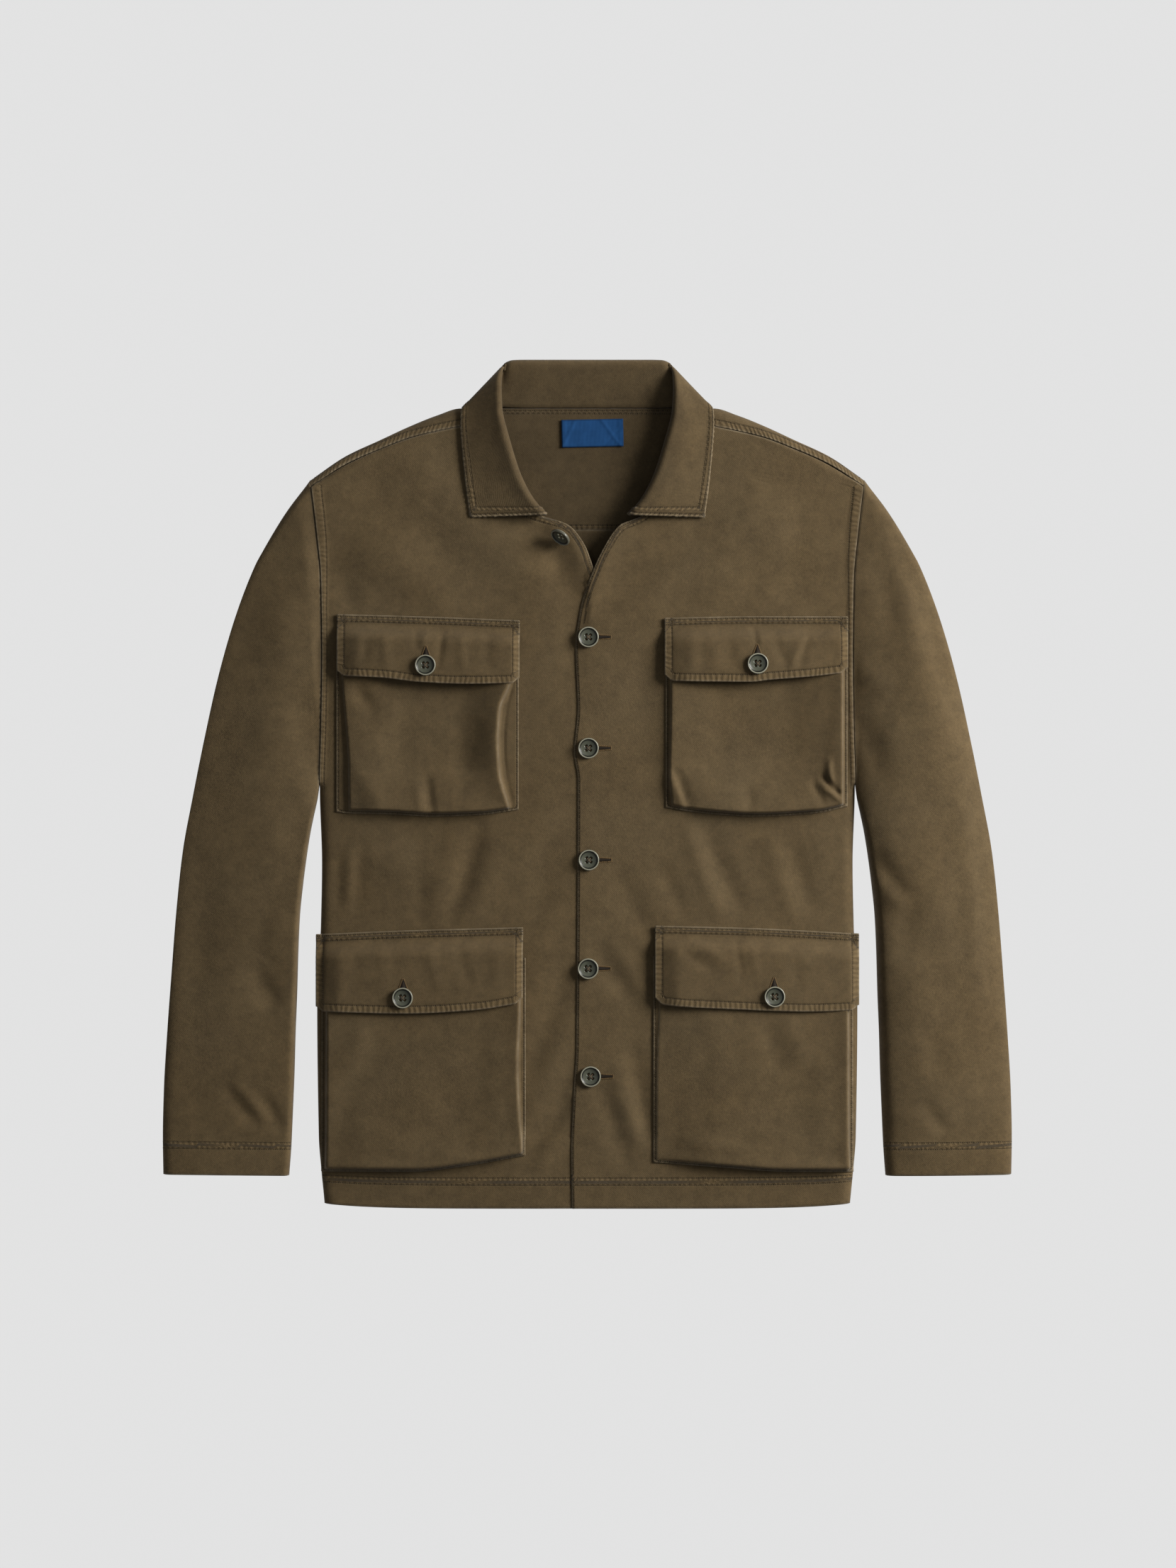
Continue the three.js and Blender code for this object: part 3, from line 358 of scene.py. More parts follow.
# A pocket's face sags by sag in its middle, in full from sag_reach inside its right side. A share of the
# bellows' rise is left at its sides: inner_rise by the front edge and outer_rise by the side seam
POCKETS = {
    "chest_pocket_right": {
        "sag_reach": 43,
        "sag": 8.3,
        "inner_rise": 1.0,
        "outer_rise": 0.3,
        "sides": (-233.5, -64),
        "bottom": columns(
            "x y", (-234, -26), (-222, -27.5), (-185, -28.3), (-144, -30.5), (-99, -29), (-64, -24)
        ),
        "face_left": columns("y x", (-26, -222), (14, -222.5), (96, -228.5), (130, -230)),
        "face_right": columns(
            "y x", (-21, -72), (11, -80.5), (39, -82), (68, -80.5), (96, -70.5), (130, -68)
        ),
        "flap": (-233, -63),
        "flap_top": columns("x y", (-233, 157.5), (-148, 155), (-63, 151.5)),
        "flap_bottom": columns("x y", (-232, 100.5), (-192, 98.7), (-156, 94.6), (-113, 92.8), (-63, 93.6)),
        "button": (-149.8, 110),
        "folds": columns(
            FOLD_COLUMNS,
            (-216, 94, -207, 76, -196, 64, 7, 8, -2.4),
            (-175, 92, -181, 70, -185, 44, 9, 10, 1.5),
            (-106, 62, -108, 37, -114, 8, 12, 14, -1.8),
            (-68, 96, -86, 38, -68, -20, 2.2, 1.6, -2.4),
            (-66, 92, -80, 38, -66, -14, 1.6, 1.6, 1.6),
            (-149, 10, -146, -13, -143, -31, 4, 8, -2.4),
            (-158, 4, -155, -16, -153, -29, 6, 5, 1.3),
            (-216, 20, -205, -5, -190, -22, 8, 10, 1.2),
        ),
        "flap_folds": columns(
            FOLD_COLUMNS,
            (-134, 147, -135, 126, -139, 104, 2.9, 4.3, -2.5),
            (-150, 147, -151, 134, -152, 124, 2.9, 2.9, 1.4),
            (-159, 145, -160, 134, -158, 122, 2.9, 2.9, -1.2),
            (-205, 143, -206, 122, -210, 104, 5, 5.8, -1.6),
            (-190, 146, -187, 122, -184, 102, 5.8, 5.8, 1.3),
            (-118, 146, -115, 122, -116, 100, 5, 5.8, 1.5),
            (-91, 144, -93, 122, -91, 102, 5, 5.8, -1.4),
        ),
    },
    "chest_pocket_left": {
        "sag_reach": 60,
        "sag": 8.3,
        "inner_rise": 0.4,
        "outer_rise": 1.0,
        "sides": (73, 242),
        "bottom": columns(
            "x y", (73, -22), (90, -25), (126, -29), (155, -30.5), (212, -27.5), (242, -21)
        ),
        "face_left": columns("y x", (-20, 78), (6, 75.5), (60, 76.5), (130, 77)),
        "face_right": columns(
            "y x", (-18, 233), (0, 219.5), (24, 226), (68, 233), (102, 239), (130, 240)
        ),
        "flap": (72, 242.5),
        "flap_top": columns("x y", (72, 153.8), (157, 155.4), (243, 155.4)),
        "flap_bottom": columns(
            "x y", (72, 96.5), (83, 95.4), (151, 94.7), (169, 96.5), (204, 99.3), (243, 103.6)
        ),
        "button": (157.7, 111.5),
        "folds": columns(
            FOLD_COLUMNS,
            (76, 14, 84, -8, 90, -26, 3, 5, 1.8),
            (80, 16, 90, -6, 96, -24, 5, 5, -1.4),
            (230, 96, 219, 45, 210, -4, 9, 14, -0.7),
            (216, 10, 227, -2, 238, -14, 2.4, 3, -3.2),
            (213, 2, 225, -9, 236, -17, 3, 3, 2.0),
            (225, 24, 222, 6, 231, -8, 3, 3, 2.4),
            (208, 6, 214, -6, 220, -20, 3, 4, -1.8),
            (150, -2, 152, -16, 150, -30, 5, 6, -1.3),
            (110, 88, 112, 60, 108, 20, 12, 14, 1.0),
        ),
        "flap_folds": columns(
            FOLD_COLUMNS,
            (155, 150, 155, 138, 157, 126, 1.8, 2.2, -1.8),
            (161, 149, 162, 138, 161, 127, 2.2, 2.2, 1),
            (171, 144, 179, 122, 188, 104, 4.3, 5, -1.7),
            (202, 138, 193, 120, 187, 103, 3.6, 5, 1.7),
            (207, 146, 203, 126, 195, 104, 3.6, 3.6, -1.5),
            (113, 144, 117, 122, 121, 102, 6.5, 6.5, 1.3),
            (133, 142, 131, 122, 136, 104, 5, 5, -1.2),
            (90, 142, 92, 122, 88, 104, 5, 5, -1),
        ),
    },
    "lower_pocket_right": {
        "sag_reach": 43,
        "sag": 2.5,
        "inner_rise": 0.9,
        "outer_rise": 0.6,
        "sides": (-247, -57.5),
        "bottom": columns("x y", (-247, -361), (-161, -361), (-115, -356), (-57, -345.5)),
        "face_left": columns("y x", (-360, -247), (-130, -247)),
        "face_right": columns(
            "y x", (-333, -59.5), (-299, -62.5), (-260, -63.7), (-204, -61.7), (-160, -62)
        ),
        "flap": (-252.5, -60),
        "flap_top": columns("x y", (-252, -140.5), (-173, -137), (-60, -133.8)),
        "flap_bottom": columns("x y", (-252, -211.5), (-169, -213.3), (-105, -210), (-60, -203)),
        "button": (-170.9, -198.8),
        "folds": columns(
            FOLD_COLUMNS,
            (-184, -236, -210, -274, -230, -312, 9, 12, -1.5),
            (-205, -232, -228, -262, -242, -296, 10, 10, 1.1),
            (-150, -262, -120, -300, -110, -346, 16, 16, -1.1),
            (-90, -226, -82, -280, -88, -336, 12, 12, 1.0),
            (-200, -335, -160, -345, -110, -345, 9, 9, 1.2),
        ),
        "flap_folds": columns(
            FOLD_COLUMNS,
            (-147, -150, -143, -175, -136, -192, 6.5, 6.5, 1.3),
            (-120, -146, -118, -165, -109, -188, 5.8, 5.8, -1.4),
            (-217, -150, -213, -175, -218, -198, 8.6, 8.6, -1.2),
            (-190, -150, -188, -170, -192, -196, 6.5, 6.5, 1),
            (-86, -144, -82, -165, -84, -192, 5.8, 5.8, 1.1),
        ),
    },
    "lower_pocket_left": {
        "sag_reach": 55,
        "sag": 2.0,
        "inner_rise": 0.15,
        "outer_rise": 1.0,
        "sides": (61.5, 247),
        "bottom": columns("x y", (61, -352), (131, -357.5), (181, -361), (248, -361.5)),
        "face_left": columns("y x", (-352, 63.5), (-270, 64), (-204, 66.5), (-160, 68)),
        "face_right": columns("y x", (-360, 247), (-130, 247)),
        "flap": (63, 252.8),
        "flap_top": columns("x y", (63, -132.3), (150, -134.5), (252, -139.8)),
        "flap_bottom": columns("x y", (63, -203.4), (73, -205.5), (131, -209), (208, -211.5), (253, -210)),
        "button": (173.3, -197.7),
        "folds": columns(
            FOLD_COLUMNS,
            (163, -214, 172, -240, 180, -272, 9, 9, -1.4),
            (186, -214, 194, -240, 204, -268, 9, 9, 1.1),
            (112, -230, 104, -280, 110, -330, 14, 14, -1.0),
            (84, -330, 120, -340, 170, -342, 7, 9, 1.3),
            (214, -240, 222, -290, 218, -340, 12, 12, 0.9),
        ),
        "flap_folds": columns(
            FOLD_COLUMNS,
            (92, -143, 112, -153, 131, -168, 4.3, 4.3, 2),
            (84, -152, 101, -163, 119, -176, 4.3, 4.3, -1.7),
            (138, -143, 140, -161, 144, -184, 3.6, 3.6, -1.8),
            (152, -143, 153, -160, 158, -180, 4.3, 4.3, 1.2),
            (243, -148, 222, -157, 204, -163, 4.3, 4.3, -1.5),
            (240, -158, 222, -167, 202, -172, 4.3, 4.3, 1.2),
            (190, -150, 192, -170, 198, -196, 5.8, 5.8, -1),
        ),
    },
}

# Buttons: 30 line, four-hole, with a raised rim, and the threads that hold them
BUTTON_PROFILE = columns(
    "radius height",
    (0, 0), (7.2, 0), (8.6, 0.3), (9.4, 1.0), (9.7, 1.9), (9.65, 2.7), (9.35, 3.1), (8.9, 3.2),
    (8.45, 3.05), (8.1, 2.6), (7.85, 2.2), (7.4, 2.0), (6.2, 1.65), (4.4, 1.25), (2, 1.05), (0, 1.0),
)
BUTTON_SIDES = 64
HOLE_REACH = 2.6
HOLE_RADIUS = 1.4
HOLE_SIDES = 20
DRILL_DEPTH = 0.01
THREAD_HALF = 0.2
THREAD_LOW = 0.9
THREAD_ARCH = 0.85
THREAD_ARCH_SHAPE = 0.6
THREAD_RINGS = 9
THREAD_SIDES = 8
SEAT_RADIUS = 9.5
FRONT_BUTTONS = ((1, 136.3), (1, 33), (1.4, -71), (0.7, -172), (3, -272.3))
NECK_BUTTON = {"x": -24, "y": 230, "tilt": 62, "turn": -34}
LABEL = {"x": 4.8, "y": 327, "width": 57.5, "height": 25.5, "turn": 1.2, "thickness": 0.8}
LABEL_CREASES = ((-22, 0.5, 0.35), (17, -0.7, 0.4), (22, 0.9, -0.3))
LABEL_CREASE_REACH = 1.6
LABEL_HEM = (5, 4)
LABEL_HEM_RISE = 0.25


def lerp(start, end, share):
    return start + (end - start) * share


def smooth(value, low, high):
    """0 below low and 1 above high, with a soft step between."""
    share = np.clip((value - low) / (high - low), 0, 1)
    return share * share * (3 - 2 * share)


def through(table, start, end):
    """A smooth line through one column of a table by another, without overshoot."""
    xs, ys = table[start], table[end]
    slopes = np.diff(ys) / np.diff(xs)
    before = np.concatenate([slopes[:1], slopes])
    after = np.concatenate([slopes, slopes[-1:]])
    same_way = before * after > 0
    both = np.where(same_way, before + after, 1)
    tangents = np.where(same_way, 2 * before * after / both, 0)

    def line(x):
        x = np.asarray(x, float)
        i = np.clip(np.searchsorted(xs, x, side="right") - 1, 0, len(xs) - 2)
        width = xs[i + 1] - xs[i]
        t = np.clip((x - xs[i]) / width, 0, 1)
        bow = width * t * (1 - t) * ((1 - t) * tangents[i] - t * tangents[i + 1])
        return lerp(ys[i], ys[i + 1], t * t * (3 - 2 * t)) + bow

    return line


half_width = through(BODY_SIDE, "y", "half")
crown_rise = through(BODY_CROWN, "y", "rise")
shoulder_fold = through(SHOULDER, "x", "fold")
shoulder_seam = through(SHOULDER, "x", "seam")


def quarter(share):
    """Quarter circle: 0 on a folded edge, 1 from the fold's reach inwards."""
    s = np.clip(share, 0, 1)
    return np.sqrt(s * (2 - s))


def openness(x, y):
    """0 on the body's folded edges, 1 where the cloth has rounded over."""
    across = np.maximum(0, half_width(y) - np.abs(x))
    from_side = np.hypot(across, np.maximum(0, y - UNDERARM_Y))
    from_shoulder = shoulder_fold(np.abs(x)) - y
    return quarter(from_side / FOLD_REACH) * quarter(from_shoulder / FOLD_REACH)


def fold_line(row, samples=25):
    """Points and unit directions along one bent fold line."""
    t = np.linspace(0, 1, samples)[:, None]
    start, by, end = (np.array([row[k + "_x"], row[k + "_y"]]) for k in ("from", "by", "to"))
    points = (1 - t) ** 2 * start + 2 * t * (1 - t) * by + t * t * end
    ways = 2 * (1 - t) * (by - start) + 2 * t * (end - by)
    return points, ways / np.linalg.norm(ways, axis=1, keepdims=True)


def fold_height(x, y, table):
    """Height that a table of folds adds at places."""
    x, y = np.broadcast_arrays(np.asarray(x, float), np.asarray(y, float))
    rise = np.zeros(x.shape)
    for i in range(len(table["rise"])):
        row = {key: values[i] for key, values in table.items()}
        points, ways = fold_line(row)
        margin = FOLD_SPREAD * max(row["left"], row["right"])
        low, high = points.min(0) - margin, points.max(0) + margin
        near = (x > low[0]) & (x < high[0]) & (y > low[1]) & (y < high[1])
        if not near.any():
            continue
        away = np.stack([x[near], y[near]], 1)[:, None, :] - points
        nearest = np.argmin((away**2).sum(2), 1)
        rows = np.arange(len(nearest))
        way, off = ways[nearest], away[rows, nearest]
        side = way[:, 0] * off[:, 1] - way[:, 1] * off[:, 0]
        spacing = np.linalg.norm(points[1:] - points[:-1], axis=1).mean()
        share = (nearest + (way * off).sum(1) / spacing) / (len(points) - 1)
        ends = np.sin(np.pi * np.clip(share, 0, 1)) ** FOLD_ENDS
        reach = np.where(side > 0, row["left"], row["right"])
        rise[near] += row["rise"] * np.exp(-((side / reach) ** 2)) * ends
    return rise


def crown(x, y):
    """Height of the front without its rounded edges."""
    share = np.clip(np.abs(x) / half_width(y), 0, 1)
    return FOLD_TOP + crown_rise(y) * (1 - share * share)


def front_height(x, y):
    """Upper face of the front, with its large folds alone."""
    rise = crown(x, y) + fold_height(x, y, LARGE_FOLDS)
    return FOLD_MIDDLE + (rise - FOLD_MIDDLE) * openness(x, y)


def folded_front(x, y):
    """Upper face of the front with all its folds."""
    fine = np.where(
        np.asarray(x) > 0,
        fold_height(x, y, FRONT_LEFT_FOLDS),
        fold_height(x, y, FRONT_RIGHT_FOLDS),
    )
    return front_height(x, y) + FINE_FOLDS * fine * openness(x, y)


def yoke_ramp(y):
    """Height of the yoke where it climbs over the collar's hidden leaf."""
    share = np.clip((y - YOKE_RAMP_FROM) / (YOKE_RAMP_TO - YOKE_RAMP_FROM), 0, 1)
    return YOKE_OVER_COLLAR * share


def back_height(x, y):
    """Outer face of the back, which is the underside of the jacket as it lies."""
    over_leaf = yoke_ramp(y) * (1 - smooth(np.abs(x), *LEAF_END))
    return lerp(FOLD_MIDDLE, over_leaf, openness(x, y))


def hem_lift(x, y):
    """How far the hem's corners curve up."""
    share = np.abs(x) / half_width(HEM_Y)
    fade = 1 - smooth(y, HEM_Y, HEM_Y + HEM_CORNER_REACH)
    return HEM_CORNER_LIFT * share**HEM_CORNER_SHAPE * fade


def round_in(turn):
    """How far in from a folded edge the cloth is, by its turn round the edge."""
    return FOLD_REACH * (1 - np.cos(turn * np.pi / 2))


def front_outer(y):
    """Outer edge of a front: its side seam or armhole, and above that the shoulder seam."""
    xs = np.linspace(NECK_HALF, SHOULDER_END, 400)
    along_shoulder = np.interp(-(y + SEAM_GAP), -shoulder_seam(xs), xs)
    return np.minimum(half_width(y), along_shoulder)


def lap_dip(reach):
    """How far the under front dips below the over front, by its distance from the centre line."""
    return (FRONT_CLOTH + LAP_GAP) * (1 - smooth(reach, LAP_FULL, LAP_START))


# Rows of stitching and worn edges, as lines on a piece's plan. The strip between a row and its edge, or
# between two rows, is on the left of the line's direction


def flat_at(y):
    """The same height at every x, for along_x."""
    return lambda x: y + 0 * x


def along_x(start, end, height, steps=60):
    """A line across, with its height given by a function of x."""
    xs = np.linspace(start, end, steps)
    return np.stack([xs, height(xs)], 1)


def along_y(start, end, reach, steps=90):
    """A line along the length, with its x given by a function of y."""
    ys = np.linspace(start, end, steps)
    return np.stack([reach(ys), ys], 1)


def nearest_on(line, x, y):
    """Signed distance to a line, above 0 on its left, and the distance along it."""
    start, step = line[:-1], np.diff(line, axis=0)
    length = np.maximum(np.linalg.norm(step, axis=1), 1e-9)
    before = np.concatenate([[0], np.cumsum(length)[:-1]])
    flat_x, flat_y = x.ravel(), y.ravel()
    best = np.full(flat_x.shape, np.inf)
    side, along = np.zeros(flat_x.shape), np.zeros(flat_x.shape)
    for k in range(len(start)):
        off_x, off_y = flat_x - start[k, 0], flat_y - start[k, 1]
        way_x, way_y = step[k] / length[k]
        reach = np.clip(off_x * way_x + off_y * way_y, 0, length[k])
        distance = np.hypot(off_x - reach * way_x, off_y - reach * way_y)
        closer = distance < best
        cross = way_x * off_y - way_y * off_x
        best = np.where(closer, distance, best)
        side = np.where(closer, np.sign(cross), side)
        along = np.where(closer, before[k] + reach, along)
    return (best * np.where(side < 0, -1, 1)).reshape(x.shape), along.reshape(x.shape)


def marks(x, y, rows=(), edges=(), ropes=()):
    """What the cloth's material reads at each place.

    It is the distance to the nearest row and along it, the distance to the nearest worn edge, and how
    strongly the sewing has roped.
    """
    row, along, rope = np.full(x.shape, -FAR), np.zeros(x.shape), np.zeros(x.shape)
    for line, strength in zip(rows, ropes or [1.0] * len(rows)):
        away, reach = nearest_on(line, x, y)
        closer = np.abs(away) < np.abs(row)
        row = np.where(closer, away, row)
        along = np.where(closer, reach, along)
        rope = np.where(closer, strength, rope)
    rim = np.full(x.shape, FAR)
    for line in edges:
        rim = np.minimum(rim, np.abs(nearest_on(line, x, y)[0]))
    return {"row": row, "along": along, "rim": rim, "rope": rope}


def roping(mark):
    """Puckers between a row and its edge, in millimetres of height."""
    inside = smooth(mark["row"], *PUCKER_FROM) * (1 - smooth(mark["row"], *PUCKER_TO))
    along = mark["along"]
    # Waves of unlike lengths, so that no two puckers are the same
    drift = 2.4 * np.sin(along / 17.0) + 1.8 * np.sin(along / 6.1 + 1)
    strength = 0.6 + 0.4 * np.sin(along / 11.3 + 2 * np.sin(along / 37.0))
    wave = strength * np.sin(along * 2 * np.pi / PUCKER_PITCH + drift)
    groove = np.exp(-((mark["row"] / GROOVE_HALF) ** 2))
    return mark["rope"] * (PUCKER_HEIGHT * inside * wave - GROOVE_DEPTH * groove)


# Meshes


def unit(vectors):
    return vectors / np.maximum(np.linalg.norm(vectors, axis=-1, keepdims=True), 1e-9)


def grid_normals(points, ring):
    """Unit normals of a grid of points, columns crossed with rows."""
    if ring:
        wide = np.concatenate([points[:, -1:], points, points[:, :1]], 1)
        across = (wide[:, 2:] - wide[:, :-2]) / 2
    else:
        across = np.gradient(points, axis=1)
    along = np.gradient(points, axis=0)
    return unit(np.cross(across, along))


def quads_between(first, second, closed):
    """Faces between two lines of vertex numbers."""
    if closed:
        first, second = np.append(first, first[0]), np.append(second, second[0])
    return np.stack([first[:-1], first[1:], second[1:], second[:-1]], 1)


def linked(name, mesh):
    """An object at the origin with a mesh."""
    obj = bpy.data.objects.new(name, mesh)
    bpy.context.scene.collection.objects.link(obj)
    return obj


def mesh_object(name, vertices, faces, look):
    """A smooth mesh object at the origin, from points in millimetres and faces of equal length."""
    mesh = bpy.data.meshes.new(name)
    mesh.vertices.add(len(vertices))
    mesh.vertices.foreach_set("co", (vertices * MM).astype(np.float32).ravel())
    corners = faces.shape[1]
    mesh.loops.add(faces.size)
    mesh.loops.foreach_set("vertex_index", faces.astype(np.int32).ravel())
    mesh.polygons.add(len(faces))
    mesh.polygons.foreach_set("loop_start", np.arange(0, faces.size, corners, dtype=np.int32))
    mesh.update(calc_edges=True)
    mesh.validate()
    mesh.shade_smooth()
    mesh.materials.append(look)
    return linked(name, mesh)


def facing_out(vertices, faces):
    """Quads turned so that the closed shape's volume is positive."""
    a, b, c, d = (vertices[faces[:, i]] for i in range(4))
    volume = (a * (np.cross(b, c) + np.cross(c, d))).sum()
    return faces if volume > 0 else faces[:, ::-1]


def give_marks(obj, plan, mark, rim):
    """UV map on the cloth's plan, in metres, and the marks as attributes, for both faces and the rim."""
    mesh = obj.data
    flat = np.stack([p.ravel() for p in plan], 1)
    flat = np.concatenate([flat, flat, flat[rim]]) * MM
    corners = np.zeros(len(mesh.loops), np.int32)
    mesh.loops.foreach_get("vertex_index", corners)
    mesh.uv_layers.new(name="Cloth")
    mesh.uv_layers["Cloth"].data.foreach_set("uv", flat[corners].astype(np.float32).ravel())
    inside = mark.get("inside", np.zeros(plan[0].shape))
    for key, values in {**mark, "inside": inside}.items():
        outer = values.ravel()
        # The cloth's inner face is inside the jacket all over and takes the full inside mark, which the
        # cloth finish paints as shade
        inner = np.ones(outer.shape) if key == "inside" else outer
        value = np.concatenate([outer, inner, outer[rim]])
        attribute = mesh.attributes.new(key, "FLOAT", "POINT")
        attribute.data.foreach_set("value", value.astype(np.float32))


def cloth(name, points, plan, mark, look, outward, thickness=CLOTH, ring=False, round_rim=0.4):
    """Closed cloth wall between a grid of points on its outer face and the same grid moved in."""
    rows, count = points.shape[:2]
    normals = grid_normals(points, ring) * outward
    inner = points - normals * thickness
    numbers = np.arange(rows * count).reshape(rows, count)
    under = numbers + rows * count
    faces = []
    for j in range(rows - 1):
        faces.append(quads_between(numbers[j], numbers[j + 1], ring))
        faces.append(quads_between(under[j + 1], under[j], ring))
    if ring:
        loops = [numbers[0], numbers[-1][::-1]]
    else:
        loops = [np.concatenate([numbers[0, :-1], numbers[:-1, -1], numbers[-1, :0:-1], numbers[:0:-1, 0]])]
    flat, inner_flat = points.reshape(-1, 3), inner.reshape(-1, 3)
    normal_flat = normals.reshape(-1, 3)
    rim_points, rim_source = [], []
    for loop in loops:
        middle = (flat[loop] + inner_flat[loop]) / 2
        way = np.roll(flat[loop], -1, 0) - np.roll(flat[loop], 1, 0)
        out = unit(np.cross(way, normal_flat[loop] * outward))
        rim_points.append(middle + out * round_rim * thickness / 2)
        first = 2 * rows * count + sum(len(source) for source in rim_source)
        rim = np.arange(first, first + len(loop))
        faces.append(quads_between(rim, loop, True))
        faces.append(quads_between(loop + rows * count, rim, True))
        rim_source.append(loop)
    vertices = np.concatenate([flat, inner_flat, *rim_points])
    obj = mesh_object(name + "_cloth", vertices, facing_out(vertices, np.concatenate(faces)), look)
    give_marks(obj, plan, mark, np.concatenate(rim_source))
    return own(obj, "cloth", name)


def own(piece, slot, *nodes):
    """The piece rides on the jacket and stands for its nodes, whose solids are hidden. Slot is not used."""
    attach(piece, "root")
    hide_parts(*nodes)
    return piece


def sewing_piece(piece):
    """Thread rides on the jacket."""
    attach(piece, "root")
    return piece


def stops(*parts):
    """Places along a line, from pairs of (end, step) after a start."""
    places = [parts[0]]
    for end, step in parts[1:]:
        count = max(1, round(abs(end - places[-1]) / step))
        places.extend(np.linspace(places[-1], end, count + 1)[1:])
    return np.array(places)


def beside(line, distance):
    """The line moved to its left."""
    way = unit(np.gradient(line, axis=0))
    return line + distance * np.stack([-way[:, 1], way[:, 0]], 1)


def row_pair(edge, near, far):
    """Two rows inside an edge that has the cloth on its right, with the strip between on their left."""
    return [beside(edge, -near)[::-1], beside(edge, -far)]


def bump_up(value, low, high, soft=1.0):
    """1 between two limits, with soft steps."""
    return smooth(value, low - soft, low + soft) * (1 - smooth(value, high - soft, high + soft))


# Panels


STITCHED = []
ARMHOLE_STRIP = through(columns("y inset", (0, 4), (150, 4), (190, 5), (235, 8), (283, 9)), "y", "inset")


def turned_up(y, edge_y, rows):
    """1 on the band that the hem turned up, with a soft step past its upper row."""
    return 1 - smooth(y, edge_y + rows[1] - 0.6, edge_y + rows[1] + 1.4)


def lifted_hem(line):
    """A row of the hem with the lift of the hem's corners."""
    return np.stack([line[:, 0], line[:, 1] + hem_lift(line[:, 0], line[:, 1])], 1)


def sewn(piece, rows, above=1):
    """Rows of stitching to lay on a piece's face."""
    STITCHED.append((piece, [np.asarray(row) for row in rows], above))
    return piece


def front_shoulder(x):
    """A front's upper edge, at its seam with the yoke."""
    return shoulder_seam(np.abs(x)) - SEAM_GAP


def front_lines(side, edge):
    """The front's edges, each with its cloth on the right."""
    inset = through(edge, "y", "inset")
    ends = (half_width(HEM_Y), inset(HEM_Y))
    lines = {
        "hem": along_x(side * ends[0], side * ends[1], flat_at(HEM_Y)),
        "inner": along_y(HEM_Y, FRONT_EDGE_TO, lambda y: side * inset(y), 160),
        "neck": along_y(NECK_LINE_FROM, FRONT_TOP_Y, lambda y: side * inset(y), 90),
        "armhole": along_y(ARMHOLE_TOP_Y, UNDERARM_Y, lambda y: side * half_width(y)),
        "shoulder": along_x(side * SHOULDER_FROM, side * SHOULDER_TO, front_shoulder),
    }
    return lines if side > 0 else {key: line[::-1] for key, line in lines.items()}


def strip_row(side, line):
    """The row beside the armhole, by the strip's width at each height."""
    xs = line[:, 0] - side * ARMHOLE_STRIP(line[:, 1])
    return np.stack([xs, line[:, 1]], 1)


def front(name, side, edge, lap, look):
    """A front, from its side seam over the body's fold to its front edge. Lap is 1 on the one below."""
    round_step, flat_step, up_step = FRONT_STEPS
    us = stops(SIDE_SEAM, (1, round_step), (2, flat_step))
    ys = stops(HEM_Y, (FRONT_TOP_Y, up_step))
    inset = through(edge, "y", "inset")
    outer = front_outer(ys)[:, None]
    inner = np.minimum(inset(ys)[:, None], outer - FRONT_LEAST)
    u = us[None, :]
    rounded = np.where(u < 1, outer - round_in(u), lerp(outer - FOLD_REACH, inner, u - 1))
    reach = lerp(rounded, lerp(outer, inner, u / 2), smooth(ys[:, None], NARROW_FROM_Y, NARROW_TO_Y))
    x, y = side * reach, np.broadcast_to(ys[:, None], reach.shape)
    lines = front_lines(side, edge)
    hem_rows = row_pair(lines["hem"], *HEM_ROWS)
    edge_rows = [beside(lines["inner"], -EDGE_ROW), beside(lines["neck"], -NECK_ROW)]
    rows = [*hem_rows, *edge_rows, strip_row(side, lines["armhole"])]
    mark = marks(x, y, rows, lines.values(), FRONT_ROPES)
    band = turned_up(y, HEM_Y, HEM_ROWS)
    strip = smooth(reach - half_width(y) + ARMHOLE_STRIP(y), *STRIP_SOFT) * smooth(y, *STRIP_FADE)
    z = folded_front(x, y) - lap * lap_dip(reach)
    z += HEM_BAND_RISE * band + STRIP_RISE * strip * openness(x, y) + roping(mark)
    points = np.stack([x, y + hem_lift(x, y), z], -1)
    piece = cloth(name, points, (x, y), mark, look, -side, FRONT_CLOTH)
    return sewn(piece, [*map(lifted_hem, hem_rows), *rows[2:]])


def back(look):
    """The back, from side seam to side seam below the yoke."""
    round_step, flat_step, up_step = BACK_STEPS
    half_us = stops(SIDE_SEAM, (1, round_step), (2, flat_step))
    us = np.concatenate([half_us, 4 - half_us[-2::-1]])
    ys = stops(HEM_Y, (YOKE_SEAM_Y, up_step))
    near = np.minimum(us, 4 - us)[None, :]
    half = half_width(ys)[:, None]
    inwards = np.where(near < 1, round_in(near), lerp(FOLD_REACH, half, near - 1))
    x = np.sign(us - 2)[None, :] * (half - inwards)
    y = np.broadcast_to(ys[:, None], x.shape)
    hem = along_x(half_width(HEM_Y), -half_width(HEM_Y), flat_at(HEM_Y))
    seam = along_x(-half_width(YOKE_SEAM_Y), half_width(YOKE_SEAM_Y), flat_at(YOKE_SEAM_Y))
    rows = row_pair(hem, *HEM_ROWS)
    mark = marks(x, y, rows, [hem, seam])
    z = back_height(x, y) + fold_height(x, y, BACK_FOLDS) * openness(x, y)
    z -= BACK_ROPE * roping(mark) * openness(x, y)
    points = np.stack([x, y + hem_lift(x, y), np.maximum(z, 0)], -1)
    return sewn(cloth("back", points, (x, y), mark, look, -1), map(lifted_hem, rows), -1)


